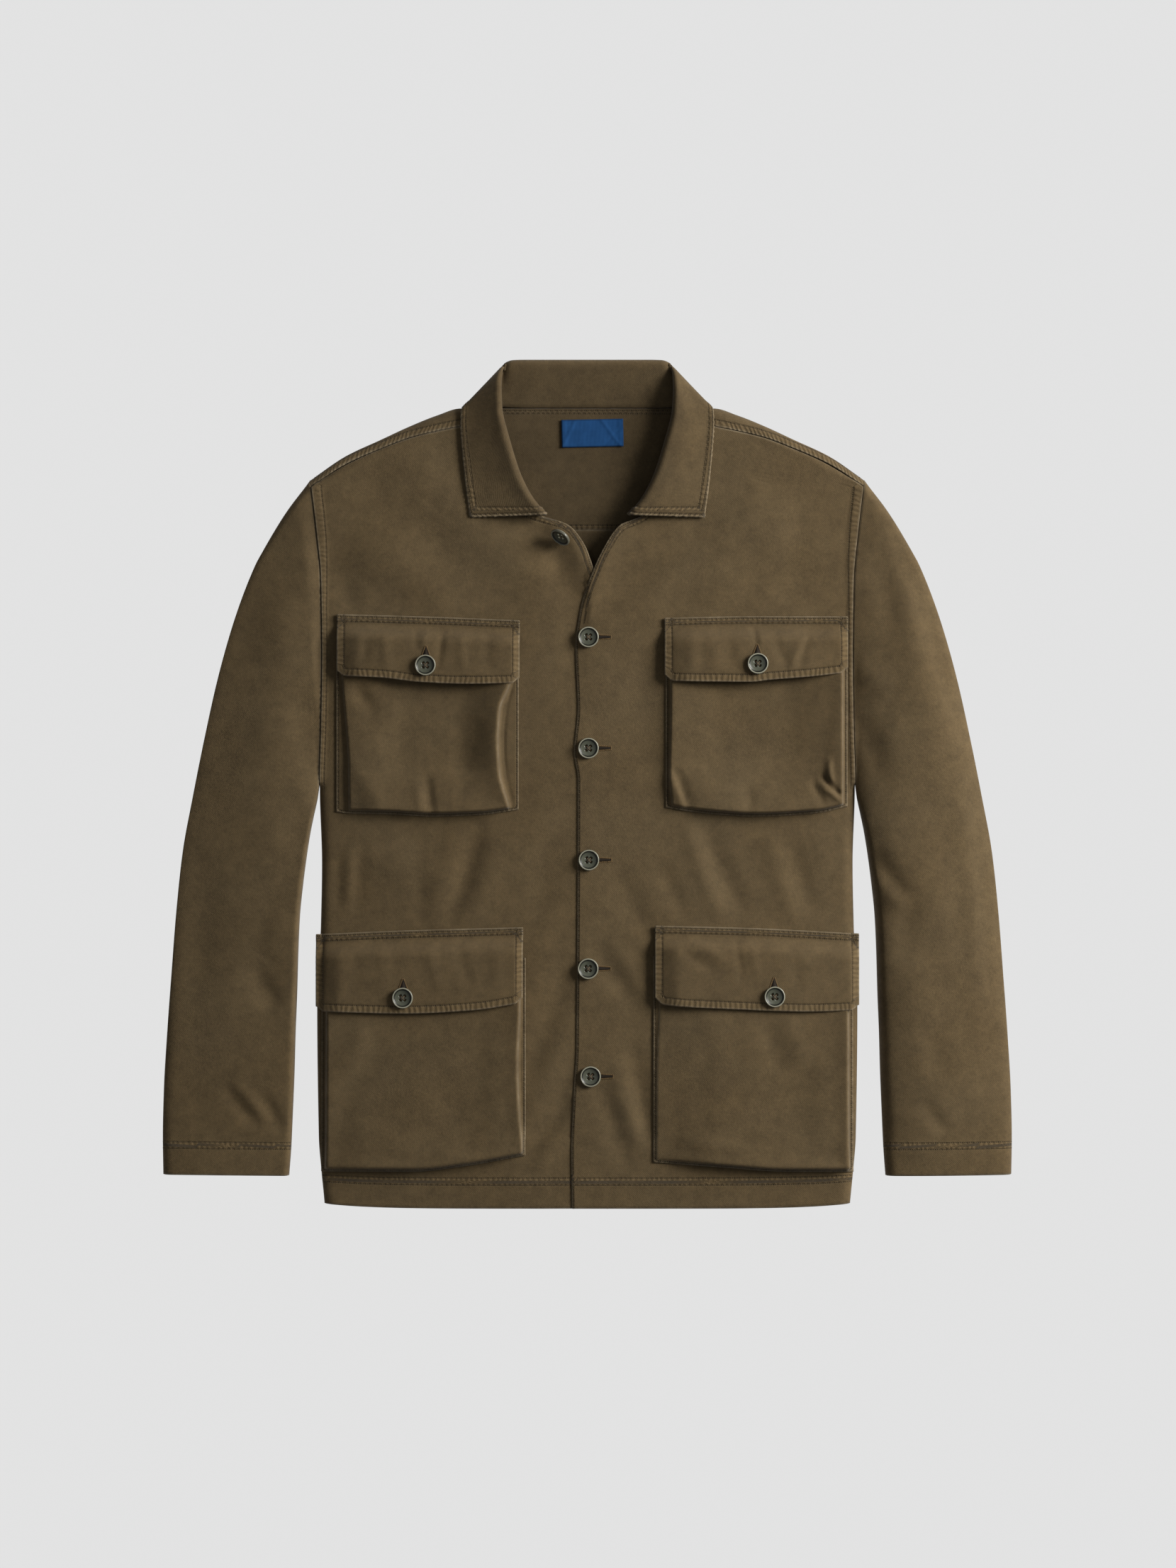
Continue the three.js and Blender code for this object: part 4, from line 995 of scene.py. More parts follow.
def yoke_places(x, row):
    """The yoke's outer face, and how far up the cloth each place is.

    Row is 0 at the seam of the back, 1 where the cloth starts to climb and 2 at the neck. Beside the neck
    the cloth goes on over the shoulder's fold, down to its seam with the front.
    """
    reach = np.abs(x)
    climb = smooth(reach, NECK_HALF, NECK_HALF + NECK_CLIMB)
    s = (row - 1) * lerp(1, 3, climb)
    fold = shoulder_fold(reach)
    low_end = np.minimum(YOKE_RAMP_TO, fold - FOLD_REACH - YOKE_FLAT_GAP)
    flat_end = lerp(NECK_SEAM_Y, fold - FOLD_REACH, climb)
    drop = fold - shoulder_seam(reach) - SEAM_GAP
    flat = np.where(row < 1, lerp(YOKE_SEAM_Y + SEAM_GAP, low_end, row), lerp(low_end, flat_end, s))
    turn = lerp(flat_end, fold, np.sin(np.clip(s - 1, 0, 0.5) * np.pi))
    over = fold - drop * (1 - np.cos(np.clip(s - 1.5, 0, 1.5) / 1.5 * np.pi / 2))
    y = np.select([s <= 1, s <= 1.5], [flat, turn], over)
    lower = np.where(s <= 1, lerp(yoke_ramp(y), back_height(x, y), climb), back_height(x, y))
    z = np.where(s <= 1.5, lower, folded_front(x, y))
    return y, z, np.where(s <= 1.5, y, 2 * fold - y)


def yoke(look):
    """The yoke, from its seam with the back over both shoulders to the seams with the fronts."""
    ends = half_width(YOKE_SEAM_Y)
    neck_step, bend_step, side_step, low_step, high_step = YOKE_STEPS
    half = stops(0, (YOKE_FINE[0], neck_step), (YOKE_FINE[1], bend_step), (ends, side_step))
    across = np.concatenate([-half[:0:-1], half])[None, :]
    flat_x, row = np.broadcast_arrays(across, stops(0, (1, low_step), (2, high_step))[:, None])
    widen = smooth(np.abs(flat_x) / ends, YOKE_WIDE_FROM, 1)
    x = flat_x
    # The ends follow the body's side, which moves as the height does, so it takes a few rounds
    for _ in range(4):
        y = yoke_places(x, row)[0]
        x = np.sign(flat_x) * lerp(np.abs(flat_x), half_width(y), widen)
    y, z, up = yoke_places(x, row)
    seam = along_x(ends, -ends, flat_at(YOKE_SEAM_Y))
    neck = along_x(-NECK_HALF, NECK_HALF, flat_at(NECK_SEAM_Y))
    shoulders = [shoulder_line(side, 0) for side in (-1, 1)]
    armholes = [yoke_end(side) for side in (-1, 1)]
    seam_row, neck_rows = beside(seam, -YOKE_SEAM_ROW), row_pair(neck, *NECK_SEAM_ROWS)
    shoulder_rows = [shoulder_line(side, SHOULDER_ROW) for side in (-1, 1)]
    mark = marks(x, up, [seam_row, *neck_rows, *shoulder_rows], [seam, *shoulders, *armholes])
    piece = cloth("back_yoke", np.stack([x, y, z], -1), (x, up), mark, look, -1)
    sewn(piece, [seam_row], -1)
    sewn(piece, neck_rows, 1)
    return sewn(piece, map(folded_over, shoulder_rows), 1)


def folded_over(line):
    """A line on the yoke's unfolded plan, as it lies once the yoke is folded over the shoulder."""
    return np.stack([line[:, 0], 2 * shoulder_fold(np.abs(line[:, 0])) - line[:, 1]], 1)


def shoulder_line(side, inside):
    """The yoke's front edge on its unfolded plan, or a row inside it, with the cloth on the right."""
    line = along_x(SHOULDER_FROM, SHOULDER_TO, shoulder_fold)
    line[:, 1] = 2 * line[:, 1] - shoulder_seam(line[:, 0]) - SEAM_GAP - inside
    line[:, 0] *= side
    return line if side > 0 else line[::-1]


def yoke_end(side):
    """The yoke's end at an armhole."""
    line = along_y(SLEEVE_TOP_Y, YOKE_SEAM_Y, lambda y: side * half_width(y), 30)
    return line if side > 0 else line[::-1]


def sleeve_places(side, turn, at):
    """Outer face of a sleeve: turn 0 to 3 over the top, 3 to 6 back below."""
    inner_x, inner_y, outer_x, outer_y, rise = (
        through(SLEEVE, "at", key) for key in ("inner_x", "inner_y", "outer_x", "outer_y", "rise")
    )
    over = np.minimum(turn, 6 - turn)
    run_x, run_y = outer_x(at) - inner_x(at), outer_y(at) - inner_y(at)
    width = np.hypot(run_x, run_y)
    middle = lerp(FOLD_REACH, width - FOLD_REACH, over - 1)
    inwards = np.select([over < 1, over > 2], [round_in(over), width - round_in(3 - over)], middle)
    share = inwards / width
    y = inner_y(at) + run_y * share
    inner_reach = np.where(turn <= 3, SLEEVE_INNER_REACH[side], FOLD_REACH)
    opened = quarter(inwards / inner_reach) * quarter((width - inwards) / FOLD_REACH)
    armhole = np.maximum(0, 1 - at / ARMHOLE_FADE)
    straight = inner_x(at) + run_x * share
    curved = half_width(y) + straight - lerp(inner_x(0), outer_x(0), share)
    x = side * (lerp(straight, curved, armhole) + ARMHOLE_GAP * np.maximum(0, 1 - at))
    crest = share ** SLEEVE_SKEW[side]
    tilted = smooth(at, *TILT_FROM) * (1 - smooth(at, *TILT_TO) * TILT_LOSS)
    tilt = SLEEVE_TILT[side] * (1 - 2 * share) * tilted
    top = FOLD_TOP + tilt + rise(at) * SLEEVE_ROUND[side] * 4 * crest * (1 - crest)
    folds = fold_height(x, y, LARGE_FOLDS)
    fine = fold_height(x, y, SLEEVE_LEFT_FOLDS if side > 0 else SLEEVE_RIGHT_FOLDS)
    upper = FOLD_MIDDLE + (top - FOLD_MIDDLE + folds + fine * smooth(at, 0, 0.6)) * opened
    lower = FOLD_MIDDLE * (1 - opened) + np.abs(fine) * UNDER_FOLDS * opened
    return x, y, np.where(turn <= 3, upper, lower)


def cuff_y(x):
    """The cuff's edge, which slants a little."""
    return CUFF_Y + CUFF_SLANT * (np.abs(x) - CUFF_INNER_X) / (CUFF_OUTER_X - CUFF_INNER_X)


def sleeve(name, side, first, last, look):
    """One half of a sleeve, between two turns round it."""
    round_step, flat_step, cap_step, down_step = SLEEVE_STEPS
    turns = stops(first, (round(first) + 1, round_step), (round(first) + 2, flat_step), (last, round_step))
    ats = stops(0, (1, cap_step), (13, down_step))
    turn, at = np.broadcast_arrays(turns[None, :], ats[:, None])
    x, y, z = sleeve_places(side, turn, at)
    cuff = along_x(side * CUFF_OUTER_X, side * (CUFF_INNER_X - 1), cuff_y)
    cuff = cuff if side > 0 else cuff[::-1]
    armhole = along_y(UNDERARM_Y, SLEEVE_TOP_Y, lambda y: side * (half_width(y) + ARMHOLE_GAP))
    rows = row_pair(cuff, *CUFF_ROWS)
    above = 1 if last <= 3 else -1
    mark = marks(x, y, rows, [cuff, armhole])
    opened = smooth(np.abs(z - FOLD_MIDDLE), 1, 5)
    band = turned_up(y, CUFF_Y, CUFF_ROWS)
    z = z + above * (HEM_BAND_RISE * band + roping(mark)) * opened
    z = np.maximum(z, 0) if above < 0 else z
    plan = (x, y) if above > 0 else (2 * side * CUFF_OUTER_X - x, y)
    piece = cloth(name, np.stack([x, y, z], -1), plan, mark, look, -side)
    return sewn(piece, rows, above)


def collar_line(at, table, key):
    """One column of a collar table, at places along either half."""
    return through(table, "at", key)(np.abs(at))


def collar_grid(ats, arc_steps, leaf_steps):
    """Middle of the collar's cloth, a column for each place along it and a row from neck to outer edge."""
    side = np.where(ats < 0, -1.0, 1.0)
    neck, roll, edge = (
        np.stack([collar_line(ats, table, "x"), collar_line(ats, table, "y")], 1)
        for table in (COLLAR_NECK, COLLAR_ROLL, COLLAR_EDGE)
    )
    neck_z, roll_z = (collar_line(ats, table, "z") for table in (COLLAR_NECK, COLLAR_ROLL))
    stand_share = smooth(np.abs(ats), *ROLL_STAND_FADE)
    roll_z = roll_z + np.where(side > 0, ROLL_STAND[1], ROLL_STAND[-1]) * stand_share
    turn = np.radians(collar_line(ats, COLLAR_ROLL, "turn"))
    over = collar_line(ats, COLLAR_EDGE, "over")
    to_neck, to_edge = unit(neck - roll), unit(edge - roll)
    path = []
    for angle in np.linspace(0, 180, arc_steps):
        way = unit(lerp(to_neck, to_edge, angle / 180))
        place = roll + way * ROLL_RADIUS * (1 - math.sin(math.radians(angle)))
        height = roll_z + ROLL_RADIUS * np.sin(turn) * math.cos(math.radians(angle))
        path.append(np.column_stack([place, height]))
    start = np.column_stack([neck, neck_z])
    stand = [lerp(start, path[0], share) for share in np.linspace(0, 1, 11)[:-1]]
    leaf = []
    for share in np.linspace(0, 1, leaf_steps)[1:]:
        place = lerp(path[-1][:, :2], edge, share)
        x, y = place[:, 0] * side, place[:, 1]
        below = crown(x, np.minimum(y, NECK_SEAM_Y)) + fold_height(x, y, LARGE_FOLDS)
        rest = lerp(COLLAR_UNDER_Z, below + LIE_GAP + DOUBLE_CLOTH / 2, over)
        leaf.append(np.column_stack([place, lerp(rest, path[-1][:, 2], (1 - share) ** LEAF_BEND)]))
    grid = np.stack([*stand, *path, *leaf])
    grid[:, :, 0] *= side
    return grid


def collar(look):
    """The collar, and the rows of stitching on its leaf."""
    back_step, bend_step, front_step = COLLAR_STEPS
    half = stops(0, (3, back_step), (9, bend_step), (13, front_step))
    ats = np.concatenate([-half[:0:-1], half])
    middle = collar_grid(ats, 13, 24)
    normals = grid_normals(middle, False)
    points = middle + normals * DOUBLE_CLOTH / 2
    up_step = np.linalg.norm(np.diff(points, axis=0), axis=-1)
    up = np.concatenate([np.zeros((1, points.shape[1])), np.cumsum(up_step, 0)])
    to_edge = up[-1] - up
    across_step = np.linalg.norm(np.diff(points, axis=1), axis=-1)
    across = np.concatenate([np.zeros((len(points), 1)), np.cumsum(across_step, 1)], 1)
    to_front = np.minimum(across, across[:, -1:] - across) * COLLAR_ROW / COLLAR_END_ROW
    inside = np.minimum(to_edge, to_front)
    by_edge = to_edge < to_front
    near = np.where(up > LEAF_START, inside, to_front)
    first, second = COLLAR_ROW - near, near - COLLAR_RIM_ROW
    row = np.where(np.abs(first) < np.abs(second), first, -second)
    along = np.where(by_edge, across, up)
    mark = {"row": np.clip(row, -FAR, FAR), "along": along, "rim": near, "rope": np.where(by_edge, 1.0, 2.0)}
    # Painted shade on the stand and roll, strongest from the neck seam up
    mark["inside"] = INSIDE_SHADE * (1 - smooth(up, *INSIDE_FADE))
    swell = EDGE_SWELL * bump_up(near, EDGE_SWELL_FROM, COLLAR_ROW)
    face = points + normals * (roping(mark) + swell)[..., None]
    face[..., 2] = np.maximum(face[..., 2], 0)
    plan = (across - across[:, -1:] / 2, up)
    piece = cloth("collar", face, plan, mark, look, 1, DOUBLE_CLOTH)
    lifted, evened = face + THREAD_LIFT * normals, across * COLLAR_ROW / COLLAR_END_ROW
    rows = [leaf_row(lifted, up, evened, inset) for inset in (COLLAR_ROW, COLLAR_RIM_ROW)]
    for line in rows:
        line[:, 2] = np.maximum(line[:, 2], STITCH_WIDTH / 2)
    return piece, rows


def leaf_row(places, up, across, inset):
    """The line on the collar's leaf that runs inside its front ends and its outer edge."""
    first_row = int(np.searchsorted(up[:, -1], LEAF_START))
    rows, cols = (np.arange(count) for count in places.shape[:2])
    to_edge, total = up[-1] - up, across[:, -1:]
    ends = []
    for reach in (across, total - across):
        line = []
        for r in rows[first_row:]:
            order = np.argsort(reach[r])
            c = np.interp(inset, reach[r][order], cols[order])
            if np.interp(c, cols, to_edge[r]) > inset:
                line.append([np.interp(c, cols, places[r, :, k]) for k in range(3)])
        ends.append(line)
    edge = []
    for c in cols:
        r = np.interp(inset, to_edge[::-1, c], rows[::-1])
        from_ends = [np.interp(r, rows, reach[:, c]) for reach in (across, total - across)]
        if min(from_ends) > inset:
            edge.append([np.interp(r, rows, places[:, c, k]) for k in range(3)])
    return np.array(ends[0] + edge + ends[1][::-1])


def pocket_shape(pocket):
    """Outline functions of a pocket's face and its bottom."""
    return (
        through(pocket["bottom"], "x", "y"),
        through(pocket["face_left"], "y", "x"),
        through(pocket["face_right"], "y", "x"),
    )


def on_front(x, y, lift, height=folded_front):
    """Places of the front's upper face, moved out along its smooth normal."""
    step = 0.01
    slope_x = (front_height(x + step, y) - front_height(x - step, y)) / (2 * step)
    slope_y = (front_height(x, y + step) - front_height(x, y - step)) / (2 * step)
    normal = unit(np.stack([-slope_x, -slope_y, np.ones_like(x)], -1))
    base = np.stack([x, y, height(x, y)], -1)
    return base + normal * np.asarray(lift)[..., None]


def pocket(name, shape, look):
    """A bellows pocket: its face, lifted off the front, and the folds down to its seam."""
    left, right = shape["sides"]
    side_step, face_step, low_step, up_step = POCKET_STEPS
    bottom, face_left, face_right = pocket_shape(shape)
    top = shape["flap_top"]["y"].mean() - MOUTH_DROP
    fine_left, fine_right, fine_low = POCKET_FINE
    us = stops(left, (left + fine_left, side_step), (right - fine_right, face_step), (right, side_step))
    shares = stops(0, (fine_low, low_step), (1, up_step))
    x = np.broadcast_to(us[None, :], (len(shares), len(us)))
    y = lerp(bottom(x), top, shares[:, None])
    in_left = x - left - POCKET_PAST_FOLD if left < -BODY_FOLD_X else x - face_left(y)
    in_right = right - POCKET_PAST_FOLD - x if right > BODY_FOLD_X else face_right(y) - x
    in_bottom = y - bottom(x) - 1
    nearest = np.minimum(np.minimum(in_left, in_right), in_bottom)
    face = smooth(in_left, FACE_SOFT, FACE_ROUNDING) * smooth(in_right, FACE_SOFT, FACE_ROUNDING)
    face *= smooth(in_bottom, 0, FACE_ROUNDING + 1)
    middle = np.clip(np.minimum(in_left / SAG_REACH_LEFT, in_right / shape["sag_reach"]), 0, 1)
    low, full = SAG_FROM_BOTTOM
    sag = shape["sag"] * np.sin(middle * np.pi / 2) ** 2 * smooth(y, bottom(x) + low, bottom(x) + full)
    from_inner, from_outer = (x - left, right - x) if left > 0 else (right - x, x - left)
    inner_side = lerp(shape["inner_rise"], 1, smooth(from_inner, 0, LOW_REACH_INNER))
    outer_side = lerp(shape["outer_rise"], 1, smooth(from_outer, 0, LOW_REACH_OUTER))
    ridge = POCKET_EDGE * np.exp(-((nearest / POCKET_EDGE_REACH) ** 2))
    lift = LIE_GAP + POCKET_CLOTH + (POCKET_RISE + ridge) * (inner_side * outer_side) * face - sag
    lift += fold_height(x, y, shape["folds"]) * smooth(nearest, *FOLDS_PAST_EDGE)
    outline = pocket_outline(left, right, bottom, top)
    row = beside(outline, -GUSSET_ROW)
    mark = marks(x, y, [row], [outline], [GUSSET_ROPE])
    mark["rim"] = np.minimum(mark["rim"], np.abs(nearest - 1.0) + FACE_RIM)
    points = on_front(x, y, lift + FACE_ROPE * roping(mark))
    piece = cloth(name, points, (x, y), mark, look, 1, POCKET_CLOTH)
    return sewn(piece, [row])


def pocket_outline(left, right, bottom, top):
    """Down the right side, along the bottom and up the left, with the cloth on the right."""
    xs = np.linspace(right, left, 60)
    down = np.column_stack([np.full(30, right), np.linspace(top, bottom(right) + 2, 30)])
    along = np.column_stack([xs, bottom(xs)])
    up = np.column_stack([np.full(30, left), np.linspace(bottom(left) + 2, top, 30)])
    return np.concatenate([down, along[1:-1], up])


def flap_lift(u, v, width):
    """How far a flap lies off the front, by the distance from its left end and from its top."""
    left_end = lerp(FLAP_LEFT_DROOP, 1, smooth(u, 0, FLAP_LEFT_REACH))
    right_end = lerp(FLAP_RIGHT_DROOP, 1, smooth(width - u, 0, FLAP_RIGHT_REACH))
    over = smooth(v, FLAP_BAND, MOUTH_DROP - 2) * left_end * right_end
    return LIE_GAP + FLAP_CLOTH + (POCKET_CLOTH + POCKET_RISE + LIE_GAP) * over


def flap(name, shape, look):
    """A pocket's flap, sewn down along its top and hanging over the pocket's mouth."""
    left, right = shape["flap"]
    end_step, wide_step, band_step, fall_step, hem_step = FLAP_STEPS
    top, bottom = through(shape["flap_top"], "x", "y"), through(shape["flap_bottom"], "x", "y")
    fine, band_end, fall_end = FLAP_FINE
    us = stops(left, (left + fine, end_step), (right - fine, wide_step), (right, end_step))
    shares = stops(0, (band_end, band_step), (fall_end, fall_step), (1, hem_step))
    x = np.broadcast_to(us[None, :], (len(shares), len(us)))
    share = np.broadcast_to(shares[:, None], x.shape)
    corner = 1 - smooth(np.minimum(x - left, right - x), 0, FLAP_CORNER)
    y = lerp(top(x), bottom(x), share) + FLAP_CORNER_LIFT * corner**2 * smooth(share, 0.7, 1)
    inside = np.sign(x) * np.minimum(np.abs(x), half_width(y) - FLAP_FROM_SIDE)
    outline = flap_outline(left, right, top, bottom)
    top_line = along_x(left, right, top)
    rows = [*row_pair(top_line, *FLAP_BAND_ROWS), beside(outline, -FLAP_ROW)]
    mark = marks(x, y, rows, [outline, top_line], FLAP_ROPES)
    down = top(x) - y
    folds = FLAP_FOLDS * fold_height(x, y, shape["flap_folds"]) * smooth(down, FLAP_BAND, FLAP_FOLDS_FROM)
    z = front_height(inside, y) + flap_lift(x - left, down, right - left)
    z += folds + roping(mark)
    z += EDGE_SWELL * bump_up(down, EDGE_SWELL_FROM, FLAP_BAND)
    points = np.stack([x, y, z], -1)
    piece = cloth(name, points, (x, y), mark, look, -1, FLAP_CLOTH)
    return sewn(piece, rows)


def flap_outline(left, right, top, bottom):
    """Down the right end, along the lower edge and up the left, with the cloth on the right."""
    xs = np.linspace(right, left, 90)
    corner = 1 - smooth(np.minimum(xs - left, right - xs), 0, FLAP_CORNER)
    along = np.column_stack([xs, bottom(xs) + FLAP_CORNER_LIFT * corner**2])
    down = np.column_stack([np.full(20, right), np.linspace(top(right), along[0, 1] + 2, 20)])
    up = np.column_stack([np.full(20, left), np.linspace(along[-1, 1] + 2, top(left), 20)])
    return np.concatenate([down, along, up])


def label(look):
    """The bare woven label, with its turned ends and a few creases, lying on the yoke."""
    turn = math.radians(LABEL["turn"])
    wide, high = LABEL["width"] / 2, LABEL["height"] / 2
    u, v = np.meshgrid(np.linspace(-wide, wide, 48), np.linspace(-high, high, 24))
    x = LABEL["x"] + u * math.cos(turn) - v * math.sin(turn)
    y = LABEL["y"] + u * math.sin(turn) + v * math.cos(turn)
    z = yoke_ramp(y) + CLOTH + LIE_GAP + LABEL["thickness"]
    z = z + LABEL_HEM_RISE * smooth(np.abs(u), wide - LABEL_HEM[0], wide - LABEL_HEM[1])
    for start, lean, rise in LABEL_CREASES:
        z = z + rise * np.exp(-(((u - start - lean * v) / LABEL_CREASE_REACH) ** 2))
    rim = np.minimum(wide - np.abs(u), high - np.abs(v))
    mark = {"row": np.full(u.shape, FAR), "along": u, "rim": rim, "rope": 0 * u}
    points = np.stack([x, y, z], -1)
    return cloth("neck_label", points, (u, v), mark, look, 1, LABEL["thickness"])


# Stitches, one short thread for each, laid along the rows. Sizes are pitch, length and width

ROW_STITCH = (STITCH_PITCH, STITCH_LENGTH, STITCH_WIDTH)
HOLE_STITCH = (0.6, 1.6, 0.6)
BAR_STITCH = (0.5, 1.3, 0.5)
STITCH_UNEVENNESS = 0.25
CROSSWISE = math.pi / 2


def tree_with_inputs(name, inputs):
    """A Geometry Nodes tree that takes a mesh and named inputs, and gives a mesh."""
    tree = bpy.data.node_groups.new(name, "GeometryNodeTree")
    tree.interface.new_socket("Rows", in_out="INPUT", socket_type="NodeSocketGeometry")
    tree.interface.new_socket("Stitches", in_out="OUTPUT", socket_type="NodeSocketGeometry")
    for title, kind in inputs:
        tree.interface.new_socket(title, in_out="INPUT", socket_type=kind)
    return tree


class Tree:
    """Adds nodes to a Geometry Nodes tree, with their settings and then their inputs."""

    def __init__(self, tree):
        self.tree = tree
        self.start = tree.nodes.new("NodeGroupInput")
        self.end = tree.nodes.new("NodeGroupOutput")

    def node(self, kind, settings=(), **inputs):
        made = self.tree.nodes.new(kind)
        for key, value in dict(settings).items():
            setattr(made, key, value)
        for key, value in inputs.items():
            socket = made.inputs[key.replace("_", " ")]
            if isinstance(value, bpy.types.NodeSocket):
                self.link(value, socket)
            else:
                socket.default_value = value
        return made

    def link(self, value, socket):
        self.tree.links.new(value, socket)


def stitch_tree():
    """Short threads at an even pitch along lines. Turn swings each thread away from its line."""
    inputs = (
        ("Pitch", "NodeSocketFloat"),
        ("Length", "NodeSocketFloat"),
        ("Width", "NodeSocketFloat"),
        ("Turn", "NodeSocketFloat"),
        ("Unevenness", "NodeSocketFloat"),
        ("Seed", "NodeSocketInt"),
        ("Thread", "NodeSocketMaterial"),
    )
    tree = Tree(tree_with_inputs("Stitch row", inputs))
    given = tree.start.outputs
    curve = tree.node("GeometryNodeMeshToCurve", Mesh=given["Rows"])
    resample = tree.node(
        "GeometryNodeResampleCurve",
        {"mode": "LENGTH"},
        Curve=curve.outputs["Curve"],
        Length=given["Pitch"],
    )
    bead = tree.node("GeometryNodeMeshIcoSphere", Radius=0.5, Subdivisions=1)
    tangent = tree.node("GeometryNodeInputTangent")
    turned = tree.node(
        "ShaderNodeVectorRotate",
        {"rotation_type": "Z_AXIS"},
        Vector=tangent.outputs["Tangent"],
        Angle=given["Turn"],
    )
    facing = tree.node("FunctionNodeAlignRotationToVector", {"axis": "X"}, Vector=turned.outputs["Vector"])
    spread = tree.node("ShaderNodeMath", {"operation": "SUBTRACT"})
    spread.inputs[0].default_value = 1.0
    tree.link(given["Unevenness"], spread.inputs[1])
    random = tree.node("FunctionNodeRandomValue", {"data_type": "FLOAT"}, Seed=given["Seed"])
    tree.link(spread.outputs[0], random.inputs[2])
    size = tree.node("ShaderNodeCombineXYZ", X=given["Length"], Y=given["Width"], Z=given["Width"])
    scale = tree.node("ShaderNodeVectorMath", {"operation": "SCALE"})
    tree.link(size.outputs[0], scale.inputs[0])
    tree.link(random.outputs[1], scale.inputs["Scale"])
    placed = tree.node(
        "GeometryNodeInstanceOnPoints",
        Points=resample.outputs["Curve"],
        Instance=bead.outputs["Mesh"],
        Rotation=facing.outputs["Rotation"],
        Scale=scale.outputs["Vector"],
    )
    real = tree.node("GeometryNodeRealizeInstances", Geometry=placed.outputs["Instances"])
    real_ones = real.outputs["Geometry"]
    thread = tree.node("GeometryNodeSetMaterial", Geometry=real_ones, Material=given["Thread"])
    tree.link(thread.outputs["Geometry"], tree.end.inputs["Stitches"])
    return tree.tree


def even_line(line, step):
    """The line with points at an even distance."""
    run = np.concatenate([[0], np.cumsum(np.linalg.norm(np.diff(line, axis=0), axis=1))])
    places = np.linspace(0, run[-1], max(2, int(run[-1] / step) + 1))
    return np.stack([np.interp(places, run, line[:, k]) for k in range(line.shape[1])], 1)


def laid_on(piece, line, above, lift=THREAD_LIFT):
    """Points of the piece's face over or under a plan line, in millimetres."""
    places = []
    for x, y in even_line(line, 1.2):
        start = (x * MM, y * MM, 0.2 * above)
        hit, place, normal, _ = piece.ray_cast(start, (0, 0, -above))
        if hit:
            places.append(np.array(place) / MM + np.array(normal) * (lift if above > 0 else THREAD_SUNK))
    return np.array(places)


def line_object(name, lines):
    """Open lines as one mesh of edges."""
    mesh = bpy.data.meshes.new(name)
    vertices = np.concatenate(lines) * MM
    edges, first = [], 0
    for line in lines:
        edges.extend((first + i, first + i + 1) for i in range(len(line) - 1))
        first += len(line)
    mesh.from_pydata(vertices.tolist(), edges, [])
    return linked(name, mesh)


def stitches(name, lines, tree, thread, seed, sizes=ROW_STITCH, turn=0.0):
    """One piece of real stitches from lines in millimetres, by their pitch, length and width."""
    pitch, length, width = sizes
    rows = line_object(name + "_rows", lines)
    modifier = rows.modifiers.new("Stitches", "NODES")
    modifier.node_group = tree
    values = {
        "Pitch": pitch * MM,
        "Length": length * MM,
        "Width": width * MM,
        "Turn": turn,
        "Unevenness": STITCH_UNEVENNESS,
        "Seed": seed,
        "Thread": thread,
    }
    for item in tree.interface.items_tree:
        if item.in_out == "INPUT" and item.name in values:
            modifier[item.identifier] = values[item.name]
    graph = bpy.context.evaluated_depsgraph_get()
    mesh = bpy.data.meshes.new_from_object(rows.evaluated_get(graph), depsgraph=graph)
    mesh.name = name
    bpy.data.objects.remove(rows)
    mesh.shade_smooth()
    return sewing_piece(linked(name, mesh))


# Finishes. What they read from marks is in millimetres, and the sizes of their noise are in metres


class Value:
    """A number that varies over a surface, as a shader socket with operators."""

    def __init__(self, look, socket):
        self.look = look
        self.socket = socket

    def math(self, operation, *others):
        node = self.look.node("ShaderNodeMath", {"operation": operation})
        for socket, value in zip(node.inputs, (self, *others)):
            self.look.put(value, socket)
        return Value(self.look, node.outputs[0])

    def __add__(self, other):
        return self.math("ADD", other)

    __radd__ = __add__

    def __mul__(self, other):
        return self.math("MULTIPLY", other)

    __rmul__ = __mul__

    def __sub__(self, other):
        return self.math("SUBTRACT", other)

    def __rsub__(self, other):
        return (self * -1) + other

    def __abs__(self):
        return self.math("ABSOLUTE")

    def sine(self):
        return self.math("SINE")

    def step(self, low, high):
        """0 below low and 1 above high, with a soft step between."""
        settings = {"interpolation_type": "SMOOTHSTEP"}
        node = self.look.node("ShaderNodeMapRange", settings, Value=self, From_Min=low, From_Max=high)
        return Value(self.look, node.outputs["Result"])


